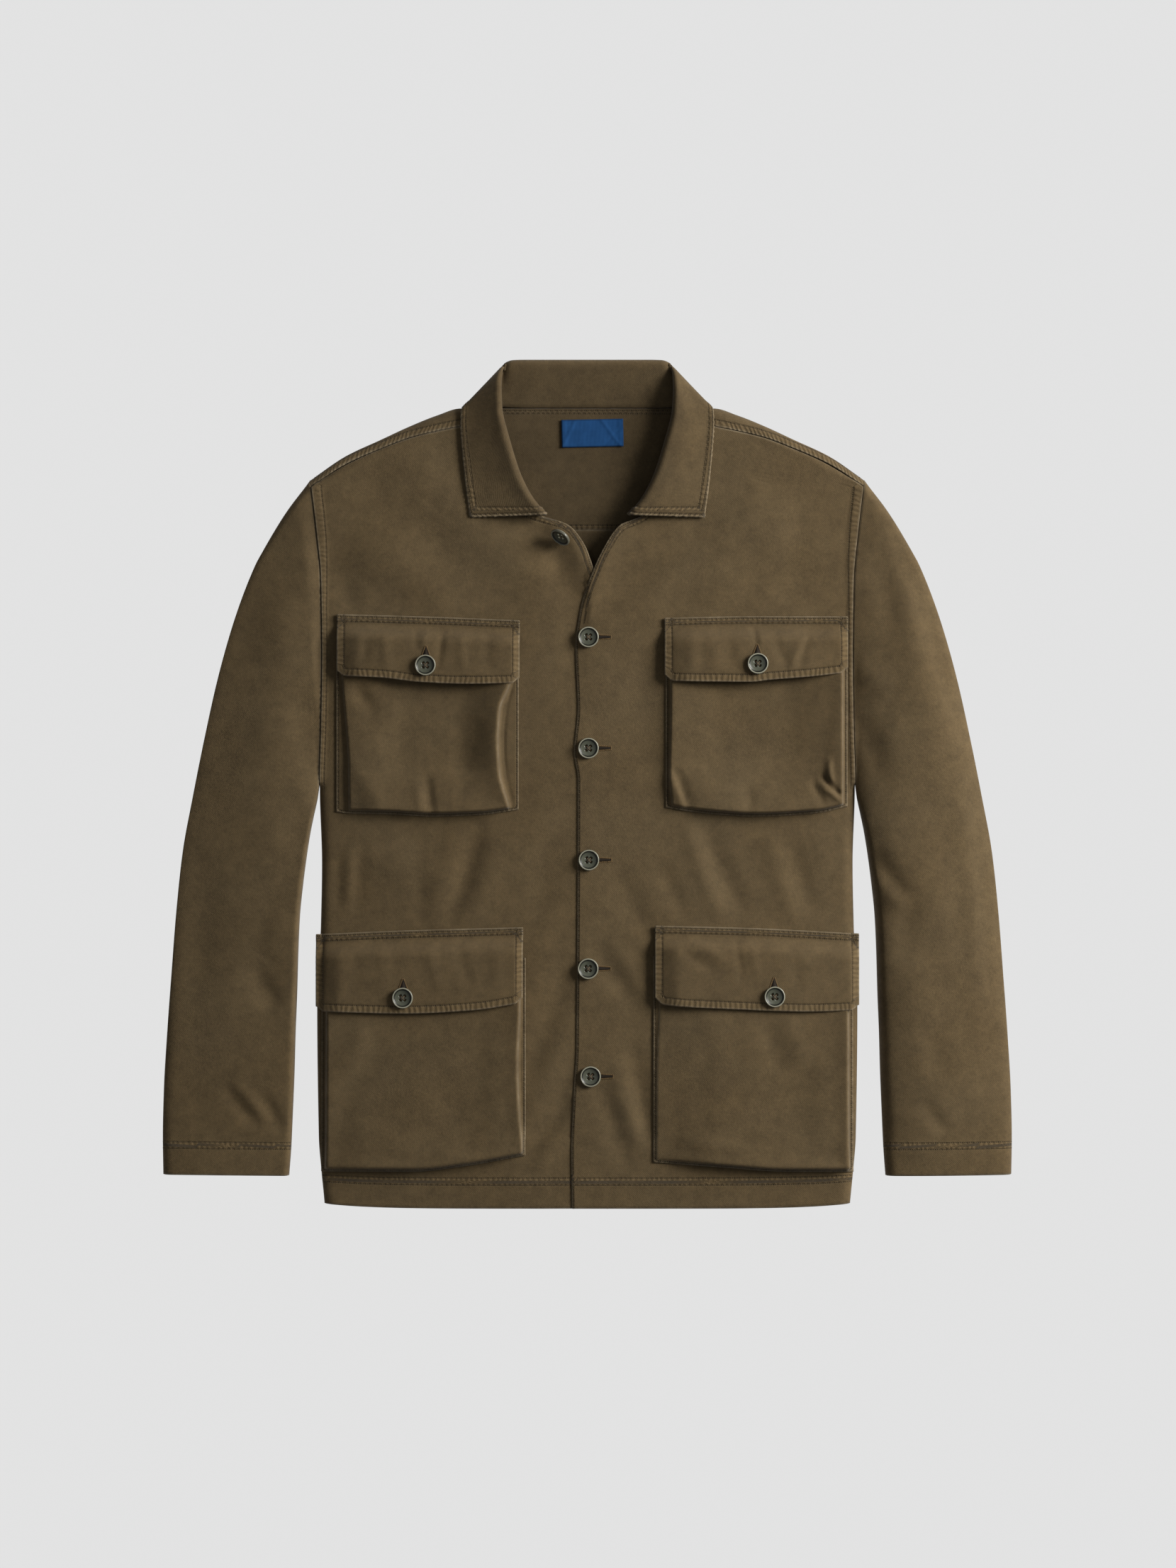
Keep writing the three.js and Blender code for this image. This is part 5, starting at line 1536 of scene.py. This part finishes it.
class Look:
    """A material whose nodes are added one by one."""

    def __init__(self, name, roughness, **shader):
        self.material = bpy.data.materials.new(name)
        self.material.use_nodes = True
        self.tree = self.material.node_tree
        self.tree.nodes.clear()
        self.shader = self.node("ShaderNodeBsdfPrincipled", Roughness=roughness, **shader)
        output = self.node("ShaderNodeOutputMaterial")
        self.tree.links.new(self.shader.outputs[0], output.inputs["Surface"])
        self.here = self.node("ShaderNodeTexCoord").outputs["Object"]

    def put(self, value, socket):
        if isinstance(value, Value):
            value = value.socket
        if isinstance(value, bpy.types.NodeSocket):
            self.tree.links.new(value, socket)
        else:
            socket.default_value = value

    def node(self, kind, settings=(), **inputs):
        made = self.tree.nodes.new(kind)
        for key, value in dict(settings).items():
            setattr(made, key, value)
        for key, value in inputs.items():
            self.put(value, made.inputs[key.replace("_", " ")])
        return made

    def mark(self, name):
        return Value(self, self.node("ShaderNodeAttribute", {"attribute_name": name}).outputs["Fac"])

    def noise(self, size, detail=2.0, roughness=0.5):
        """Noise about 0, with patches of a size in metres."""
        inputs = {"Vector": self.here, "Scale": 1 / size, "Detail": detail, "Roughness": roughness}
        made = self.node("ShaderNodeTexNoise", **inputs)
        return Value(self, made.outputs["Fac"]) - 0.5

    def colour(self, first, second, share):
        """A mix of two colours by a value."""
        node = self.node("ShaderNodeMix", {"data_type": "RGBA"})
        self.put(share, node.inputs["Factor"])
        for key, value in ((6, first), (7, second)):
            self.put((*value, 1.0) if isinstance(value, tuple) else value, node.inputs[key])
        return node.outputs[2]

    def scaled(self, colour, strength):
        """A colour made lighter or darker by a value."""
        node = self.node("ShaderNodeVectorMath", {"operation": "SCALE"}, Scale=strength)
        self.put(colour, node.inputs[0])
        return node.outputs["Vector"]

    def bump(self, height, distance):
        """Relief from a value, with its full height in metres."""
        node = self.node("ShaderNodeBump", Height=height, Distance=distance, Strength=1.0)
        self.put(node.outputs["Normal"], self.shader.inputs["Normal"])

    def paint(self, colour, shade):
        """The base colour, made lighter or darker by a value."""
        self.put(self.scaled(colour, shade), self.shader.inputs["Base Color"])

    def plan(self):
        """Places across and up the cloth's own plan, in metres."""
        place = self.node("ShaderNodeUVMap", {"uv_map": "Cloth"}).outputs["UV"]
        part = self.node("ShaderNodeSeparateXYZ", Vector=place)
        return Value(self, part.outputs["X"]), Value(self, part.outputs["Y"])


TWILL_PITCH = 0.0009
TWILL_SLOPE = 1.7
WEFT_PITCH = 0.00055
WARP_PITCH = 0.0008
CLOTH_BROWN = (0.103, 0.0680, 0.0303)
CLOTH_OLIVE = (0.085, 0.0605, 0.0315)
CLOTH_FADED = (0.185, 0.148, 0.098)
BUTTON_DARK = (0.060, 0.063, 0.044)
# Rim colour: paler horn with a painted highlight
BUTTON_PALE_AND_HIGHLIGHT = (0.260, 0.250, 0.190)
LABEL_DARK = (0.0085, 0.047, 0.140)
LABEL_BLUE = (0.012, 0.060, 0.172)
ROW_THREAD = (0.098, 0.072, 0.040)
HOLE_THREAD = (0.155, 0.098, 0.045)
BUTTON_THREAD = (0.12, 0.088, 0.058)
# Painted shade for the buttonhole slits
SLIT_SHADE = (0.016, 0.011, 0.007)


def twill(look):
    """Fine diagonal ribs on the cloth's own plan, from -1 to 1."""
    across, up = look.plan()
    wander = look.noise(0.004, 1.0) * 1.6
    return ((across + up * TWILL_SLOPE) * (math.pi / TWILL_PITCH) + wander).sine()


def jacket_cloth():
    """Washed twill: clouds and flecks of dye, roped rows with a groove at the thread, worn edges, painted
    light and shade on the puckers, and painted shade on the inner faces.
    """
    look = Look("cloth", 0.9, Sheen_Weight=0.12, Sheen_Roughness=0.4, Specular_IOR_Level=0.2)
    row, along, rim, inside, rope = (look.mark(key) for key in ("row", "along", "rim", "inside", "rope"))
    ribs = twill(look)
    clouds, patches = look.noise(0.085, 3.0), look.noise(0.014, 3.0, roughness=0.65)
    blotches = look.noise(0.034, 2.0, roughness=0.6)
    flecks, grain = look.noise(0.0016, 3.0, roughness=0.75), look.noise(0.0045, 2.0, roughness=0.6)
    groove = 1 - abs(row).step(0.35, 1.1)
    strip = row.step(-1.2, 0.6) * (1 - row.step(5.0, 8.5))
    wave = (along * (2 * math.pi / PUCKER_PITCH) + look.noise(0.016, 2.0) * 9).sine()
    worn = (1 - rim.step(0.4, 1.9)) * (0.8 + patches * 1.8)
    shade = 1.0 + clouds * 0.36 + blotches * 0.34 + patches * 0.6
    shade = shade + grain * 0.34 + flecks * 0.75 + ribs * 0.05
    needle = (along * (2 * math.pi / STITCH_PITCH)).sine().step(0.2, 0.8) * (1 - abs(row).step(0.25, 0.6))
    # The strip beside a row is paler from wear; the wave adds painted light and shade on its puckers,
    # lighter on their crests and darker in their hollows, in step with the bump
    shade = shade + strip * rope * (0.10 + wave * 0.13) - groove * 0.24 - needle * 0.6
    base = look.colour(CLOTH_BROWN, CLOTH_OLIVE, clouds + 0.5)
    # Painted shade: the inside mark darkens the colour by up to 35%, on every inner face and on the collar
    # stand's inner face
    look.paint(look.colour(base, CLOTH_FADED, worn * 0.5), shade * (1 - inside * 0.35))
    look.put(0.9 + flecks * 0.12, look.shader.inputs["Roughness"])
    look.bump(ribs * 0.10 + flecks * 0.5 + patches * 0.7 + strip * wave * 0.3 - groove * 0.5, 0.0006)
    return look.material


def thread_look(name, colour):
    """Matt thread of one colour."""
    look = Look(name, 0.85, Specular_IOR_Level=0.2)
    flecks = look.noise(0.0006, 2.0)
    look.paint(look.colour(colour, colour, 0.5), 1 + flecks * 0.6)
    look.bump(flecks, 0.0001)
    return look.material


def button_look():
    """Dull horn, its rim paler with a painted highlight, with painted shade in the groove inside the rim and
    on the rim's outer side. The rim mark is the radius.
    """
    look = Look("buttons", 0.34, Specular_IOR_Level=0.5)
    clouds, flecks = look.noise(0.006, 3.0, roughness=0.6), look.noise(0.0009, 2.0)
    rim = look.mark("rim")
    # groove marks the ring inside the raised rim, which gets painted shade below
    raised, groove = rim.step(8.2, 8.7), rim.step(6.6, 7.6) * (1 - rim.step(8.0, 8.5))
    # The rim's colour is partly its own paler horn and partly a painted highlight
    base = look.colour(BUTTON_DARK, BUTTON_PALE_AND_HIGHLIGHT, raised)
    # Painted shade: up to 88% darker in the groove ring and up to 70% darker on the rim's outer side past
    # 9.3 mm
    shade = (1 + clouds * 0.5 + flecks * 0.2) * (1 - groove * 0.88) * (1 - rim.step(9.3, 9.6) * 0.7)
    look.paint(base, shade)
    look.put(0.34 + clouds * 0.3, look.shader.inputs["Roughness"])
    look.bump(clouds * 0.6 + flecks * 0.4, 0.00008)
    return look.material


def label_look():
    """Plain woven blue, darker along its edge."""
    look = Look("label", 0.9, Specular_IOR_Level=0.15)
    across, up = look.plan()
    weft = (up * (2 * math.pi / WEFT_PITCH)).sine()
    warp = (across * (2 * math.pi / WARP_PITCH)).sine()
    clouds = look.noise(0.012, 2.0)
    shade = 1 + clouds * 0.4 + weft * 0.10 + warp * 0.06 - (1 - look.mark("rim").step(0.5, 1.6)) * 0.4
    look.paint(look.colour(LABEL_DARK, LABEL_BLUE, clouds + 0.5), shade)
    look.bump(weft * 0.5 + warp * 0.3, 0.0001)
    return look.material


# Buttons


def button_blank():
    """A button's turned shape at the origin, without its holes."""
    turns = np.linspace(0, 2 * np.pi, BUTTON_SIDES, endpoint=False)
    radii, heights = BUTTON_PROFILE["radius"], BUTTON_PROFILE["height"]
    rings = []
    for radius, height in zip(radii[1:-1], heights[1:-1]):
        rings.append(np.stack([radius * np.cos(turns), radius * np.sin(turns), height + 0 * turns], 1))
    vertices = np.concatenate([*rings, [[0, 0, heights[0]], [0, 0, heights[-1]]]])
    numbers = np.arange(len(rings) * BUTTON_SIDES).reshape(len(rings), BUTTON_SIDES)
    faces = []
    for low, high in zip(numbers, numbers[1:]):
        faces.extend(quads_between(low, high, True).tolist())
    back_middle, face_middle = len(vertices) - 2, len(vertices) - 1
    for i in range(BUTTON_SIDES):
        after = (i + 1) % BUTTON_SIDES
        faces.append([back_middle, numbers[0][after], numbers[0][i]])
        faces.append([face_middle, numbers[-1][i], numbers[-1][after]])
    mesh = bpy.data.meshes.new("button_blank")
    mesh.from_pydata((vertices * MM).tolist(), [], faces)
    return linked("button_blank", mesh)


def button_shape(look):
    """A four-hole button at the origin, as a mesh whose rim mark is the radius."""
    blank, drills = button_blank(), drill_object()
    cut = blank.modifiers.new("Holes", "BOOLEAN")
    cut.operation, cut.solver, cut.object = "DIFFERENCE", "EXACT", drills
    graph = bpy.context.evaluated_depsgraph_get()
    made = bpy.data.meshes.new_from_object(blank.evaluated_get(graph), depsgraph=graph)
    for obj in (blank, drills):
        bpy.data.objects.remove(obj)
    made.materials.clear()
    made.materials.append(look)
    places = np.zeros(len(made.vertices) * 3, np.float32)
    made.vertices.foreach_get("co", places)
    radius = np.hypot(places[0::3], places[1::3]) / MM
    made.attributes.new("rim", "FLOAT", "POINT").data.foreach_set("value", radius.astype(np.float32))
    made.shade_smooth()
    return made


def drill_object():
    """Four round drills for a button's holes."""
    drills = bmesh.new()
    radius = HOLE_RADIUS * MM
    sizes = {"segments": HOLE_SIDES, "radius1": radius, "radius2": radius, "depth": DRILL_DEPTH}
    for i in range(4):
        angle = math.pi / 4 + i * math.pi / 2
        where = (HOLE_REACH * math.cos(angle) * MM, HOLE_REACH * math.sin(angle) * MM, 0.001)
        bmesh.ops.create_cone(drills, cap_ends=True, matrix=Matrix.Translation(where), **sizes)
    mesh = bpy.data.meshes.new("drills")
    drills.to_mesh(mesh)
    drills.free()
    return linked("drills", mesh)


def button_place(x, y, lift, tilt=0.0, turn=0.0):
    """Where a button stands: its back at a lift over the front, facing out of the cloth."""
    low = on_front_point(x, y, lift)
    high = on_front_point(x, y, lift + 1)
    facing = Vector((0, 0, 1)).rotation_difference(Vector(high - low)).to_matrix().to_4x4()
    lean = Matrix.Rotation(tilt, 4, Vector((math.cos(turn), math.sin(turn), 0)))
    return Matrix.Translation(Vector(low * MM)) @ lean @ facing


def seated(place):
    """A button's place, raised until its rim clears the under front with its folds."""
    turns = np.linspace(0, 2 * np.pi, 24, endpoint=False)
    reach = SEAT_RADIUS * MM
    rim = [place @ Vector((reach * math.cos(a), reach * math.sin(a), 0.001)) for a in turns]
    x, y, z = np.array(rim).T / MM
    below = folded_front(x, y) - lap_dip(-x) - z
    return Matrix.Translation((0, 0, (below.max() + LIE_GAP) * MM)) @ place


def on_front_point(x, y, lift):
    """One place over the front's smooth upper face, as the solids have it."""
    xs, ys = np.array([float(x)]), np.array([float(y)])
    return on_front(xs, ys, np.array([float(lift)]), front_height)[0]


def thread_arch(threads, start, end, aside):
    """One round thread that arches from one hole to another, a little to the left of the line between."""
    way = unit(end - start)
    left = np.array([-way[1], way[0]])
    rings = []
    for share in np.linspace(0, 1, THREAD_RINGS):
        middle = lerp(start, end, share) + left * aside
        height = THREAD_LOW + THREAD_ARCH * math.sin(math.pi * share) ** THREAD_ARCH_SHAPE
        ring = []
        for k in range(THREAD_SIDES):
            angle = k * 2 * math.pi / THREAD_SIDES
            place = (middle + left * THREAD_HALF * math.cos(angle)) * MM
            ring.append(threads.verts.new((*place, (height + THREAD_HALF * math.sin(angle)) * MM)))
        rings.append(ring)
    for one, two in zip(rings, rings[1:]):
        for k in range(THREAD_SIDES):
            after = (k + 1) % THREAD_SIDES
            threads.faces.new((one[k], one[after], two[after], two[k]))
    threads.faces.new(rings[0][::-1])
    threads.faces.new(rings[-1])


def thread_cross(name, place, look):
    """Two crossing pairs of threads between a button's holes."""
    threads = bmesh.new()
    reach = HOLE_REACH * math.cos(math.pi / 4)
    for start, end in (((-1, -1), (1, 1)), ((-1, 1), (1, -1))):
        for aside in (-THREAD_HALF, THREAD_HALF):
            thread_arch(threads, np.array(start) * reach, np.array(end) * reach, aside)
    bmesh.ops.recalc_face_normals(threads, faces=threads.faces[:])
    mesh = bpy.data.meshes.new(name)
    threads.to_mesh(mesh)
    threads.free()
    mesh.transform(place)
    mesh.materials.append(look)
    mesh.shade_smooth()
    return sewing_piece(linked(name, mesh))


def button(name, place, shape, thread):
    """A button in its place, with the threads that hold it."""
    mesh = shape.copy()
    mesh.name = name + "_turned"
    mesh.transform(place)
    piece = linked(name + "_turned", mesh)
    thread_cross(name + "_thread", place, thread)
    return own(piece, "buttons", name)


# Buttonholes


HOLE_PAST_BUTTON = 20.8
POCKET_HOLE_PAST_BUTTON = 17.4
HOLE_START = 8.6
HOLE_OPEN = (2.2, 1.5)
POCKET_HOLE_OPEN = (3.9, 0.7)
HOLE_LIFT = 0.25
BAR_LIFT = 0.4
BAR_PAST = 0.3
SLIT_SHORT = 0.4
SLIT_INSIDE = 0.5
SLIT_DEPTH = 0.5


def hole_lines(x, y, reach, upright):
    """A buttonhole that runs out from under its button.

    It gives both sides, the bar at the end, and the slit with half its width at each end.
    """
    way = np.array([0.0, 1.0]) if upright else np.array([1.0, 0.0])
    aside = np.array([-way[1], way[0]])
    opened = POCKET_HOLE_OPEN if upright else HOLE_OPEN
    start, end = np.array([x, y]) + way * HOLE_START, np.array([x, y]) + way * reach
    sides = [np.stack([start + aside * s * opened[0], end + aside * s * opened[1]]) for s in (1, -1)]
    past = end + way * BAR_PAST
    bar = np.stack([past - aside * opened[1], past + aside * opened[1]])
    slit = np.stack([start, end - way * SLIT_SHORT])
    return sides, bar, (slit, [half - SLIT_INSIDE for half in opened])


def ribbon(name, strips, look):
    """Narrow strips along lines, with their flat side up, each from one half width to another."""
    vertices, faces = [], []
    down = np.array([0, 0, SLIT_DEPTH])
    for line, half in strips:
        way = unit(np.gradient(line, axis=0))
        aside = unit(np.cross([0.0, 0.0, 1.0], way)) * np.linspace(*half, len(line))[:, None]
        first = len(vertices)
        for point, off in zip(line, aside):
            vertices.extend((point - off, point + off, point + off - down, point - off - down))
        last = first + 4 * (len(line) - 1)
        for here in range(first, last, 4):
            for k in range(4):
                after = (k + 1) % 4
                faces.append((here + k, here + after, here + 4 + after, here + 4 + k))
        faces.append((first + 3, first + 2, first + 1, first))
        faces.append((last, last + 1, last + 2, last + 3))
    faces, vertices = np.array(faces), np.array(vertices)
    return sewing_piece(mesh_object(name, vertices, facing_out(vertices, faces), look))


def buttonholes(piece, places, reach, upright, tree, looks, seed):
    """Stitched sides and end bars of a piece's buttonholes, and a strip of painted shade in each slit."""
    thread, dark = looks
    sides, bars, slits = [], [], []
    for x, y in places:
        pair, bar, (slit, half) = hole_lines(x, y, reach, upright)
        sides.extend(laid_on(piece, line, 1, HOLE_LIFT) for line in pair)
        bars.append(laid_on(piece, bar, 1, BAR_LIFT))
        slits.append((laid_on(piece, slit, 1), half))
    name = piece.name + "_buttonholes"
    side = stitches(name, sides, tree, thread, seed, HOLE_STITCH, CROSSWISE)
    end = stitches(name + "_ends", bars, tree, thread, seed + 1, BAR_STITCH, CROSSWISE)
    return [side, end, ribbon(piece.name + "_slits", slits, dark)]


# Studio: its lamps and camera are in metres, its floor in millimetres

FLOOR_GLOW = 0.765
KEY = {"place": (3.15, 1.3, 1.68), "size": 1.7, "power": 274, "colour": (1, 0.985, 0.945)}
FILL = {"place": (-0.3, 0.1, 2.6), "size": 2.4, "power": 5, "colour": (0.97, 0.99, 1)}
WORLD = 0.15
WORLD_COLOUR = (0.95, 0.985, 1, 1)
CAMERA_HEIGHT = 4.0
LENS = 98.3
CAMERA_PLACE = (0.00066, -0.00033, CAMERA_HEIGHT)
FLOOR_HALF = 4000
FLOOR_Z = -0.4


def plain_plane(name, size, z, look):
    """A level square, by half its side."""
    vertices = np.array([[-size, -size, z], [size, -size, z], [size, size, z], [-size, size, z]], float)
    return mesh_object(name, vertices, np.array([[0, 1, 2, 3]]), look)


def floor_look():
    """An even pale ground that takes no light or shadow."""
    look = Look("floor", 0.95)
    look.shader.inputs["Base Color"].default_value = (0.0, 0.0, 0.0, 1)
    look.shader.inputs["Specular IOR Level"].default_value = 0.0
    look.shader.inputs["Emission Color"].default_value = (1, 1, 1, 1)
    look.shader.inputs["Emission Strength"].default_value = FLOOR_GLOW
    return look.material


def lamp(name, place, size, power, colour):
    """A square lamp that faces the jacket."""
    data = bpy.data.lights.new(name, "AREA")
    data.size = size
    data.color = colour
    data.energy = power
    obj = bpy.data.objects.new(name, data)
    obj.location = place
    obj.rotation_euler = (Vector((0, 0, 0)) - Vector(place)).to_track_quat("-Z", "Y").to_euler()
    bpy.context.scene.collection.objects.link(obj)


def studio():
    """The floor, a broad lamp from the upper right, a weak one from above and an even room."""
    plain_plane("floor", FLOOR_HALF, FLOOR_Z, floor_look())
    lamp("key", **KEY)
    lamp("fill", **FILL)
    world = bpy.data.worlds.new("room")
    world.use_nodes = True
    world.node_tree.nodes["Background"].inputs["Color"].default_value = WORLD_COLOUR
    world.node_tree.nodes["Background"].inputs["Strength"].default_value = WORLD
    bpy.context.scene.world = world
    data = bpy.data.cameras.new("camera")
    data.lens = LENS
    camera = bpy.data.objects.new("camera", data)
    camera.location = CAMERA_PLACE
    bpy.context.scene.collection.objects.link(camera)
    bpy.context.scene.camera = camera
    bpy.context.scene.view_settings.view_transform = "Standard"


# The jacket


def jacket():
    """All cloth pieces by the names of their nodes, and the collar's rows of stitching."""
    look = jacket_cloth()
    pieces = {
        "front_left": front("front_left", 1, OVER_EDGE, 0, look),
        "front_right": front("front_right", -1, UNDER_EDGE, 1, look),
        "back": back(look),
        "back_yoke": yoke(look),
    }
    for side, sign in (("left", 1), ("right", -1)):
        for part, turn in (("top", 0), ("under", 3)):
            name = f"sleeve_{side}_{part}"
            pieces[name] = sleeve(name, sign, turn + SIDE_SEAM, turn + 3 - SIDE_SEAM, look)
    pieces["collar"], collar_rows = collar(look)
    for name, shape in POCKETS.items():
        pieces[name] = pocket(name, shape, look)
        pieces[name + "_flap"] = flap(name + "_flap", shape, look)
    pieces["neck_label"] = label(label_look())
    return pieces, collar_rows


def sewing(pieces, collar_rows):
    """All stitches and buttonholes, by the piece that they are on."""
    tree = stitch_tree()
    thread = thread_look("thread", ROW_THREAD)
    # The slit look is painted shade, a near-black strip in each buttonhole's opening
    hole_looks = (thread_look("buttonhole_thread", HOLE_THREAD), thread_look("slit", SLIT_SHADE))
    bpy.context.view_layer.update()
    rows = {}
    for piece, lines, above in STITCHED:
        rows.setdefault(piece.name, []).extend(laid_on(piece, line, above) for line in lines)
    rows["collar_cloth"] = collar_rows
    by_piece = {}
    for seed, (name, lines) in enumerate(rows.items()):
        lines = [line for line in lines if len(line) > 3]
        by_piece[name] = [stitches(name + "_stitches", lines, tree, thread, seed)]
    front_piece = pieces["front_left"]
    holes = buttonholes(front_piece, FRONT_BUTTONS, HOLE_PAST_BUTTON, False, tree, hole_looks, 50)
    by_piece[front_piece.name].extend(holes)
    for seed, (name, shape) in enumerate(POCKETS.items()):
        flap_piece = pieces[name + "_flap"]
        places, reach = [shape["button"]], POCKET_HOLE_PAST_BUTTON
        holes = buttonholes(flap_piece, places, reach, True, tree, hole_looks, 60 + seed)
        by_piece[flap_piece.name].extend(holes)
    return by_piece


def buttons():
    """The five front buttons, one on each flap and the undone one at the neck."""
    shape = button_shape(button_look())
    thread = thread_look("button_thread", BUTTON_THREAD)
    for i, (x, y) in enumerate(FRONT_BUTTONS):
        button(f"front_button_{i + 1}", button_place(x, y, LIE_GAP), shape, thread)
    on_flap = LIE_GAP + FLAP_CLOTH + POCKET_CLOTH + POCKET_RISE + 2 * LIE_GAP
    for name, sizes in POCKETS.items():
        button(name + "_button", button_place(*sizes["button"], on_flap), shape, thread)
    tilt, turn = (math.radians(NECK_BUTTON[key]) for key in ("tilt", "turn"))
    place = seated(button_place(NECK_BUTTON["x"], NECK_BUTTON["y"], 0, tilt, turn))
    button("neck_button", place, shape, thread)


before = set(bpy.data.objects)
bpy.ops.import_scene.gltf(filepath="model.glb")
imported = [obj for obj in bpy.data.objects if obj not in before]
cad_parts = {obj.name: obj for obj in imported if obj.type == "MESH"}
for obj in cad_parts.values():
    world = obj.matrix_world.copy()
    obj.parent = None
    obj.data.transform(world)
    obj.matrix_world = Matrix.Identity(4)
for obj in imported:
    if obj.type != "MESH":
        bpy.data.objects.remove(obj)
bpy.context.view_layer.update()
studio()
made, leaf_rows = jacket()
sewing(made, leaf_rows)
buttons()
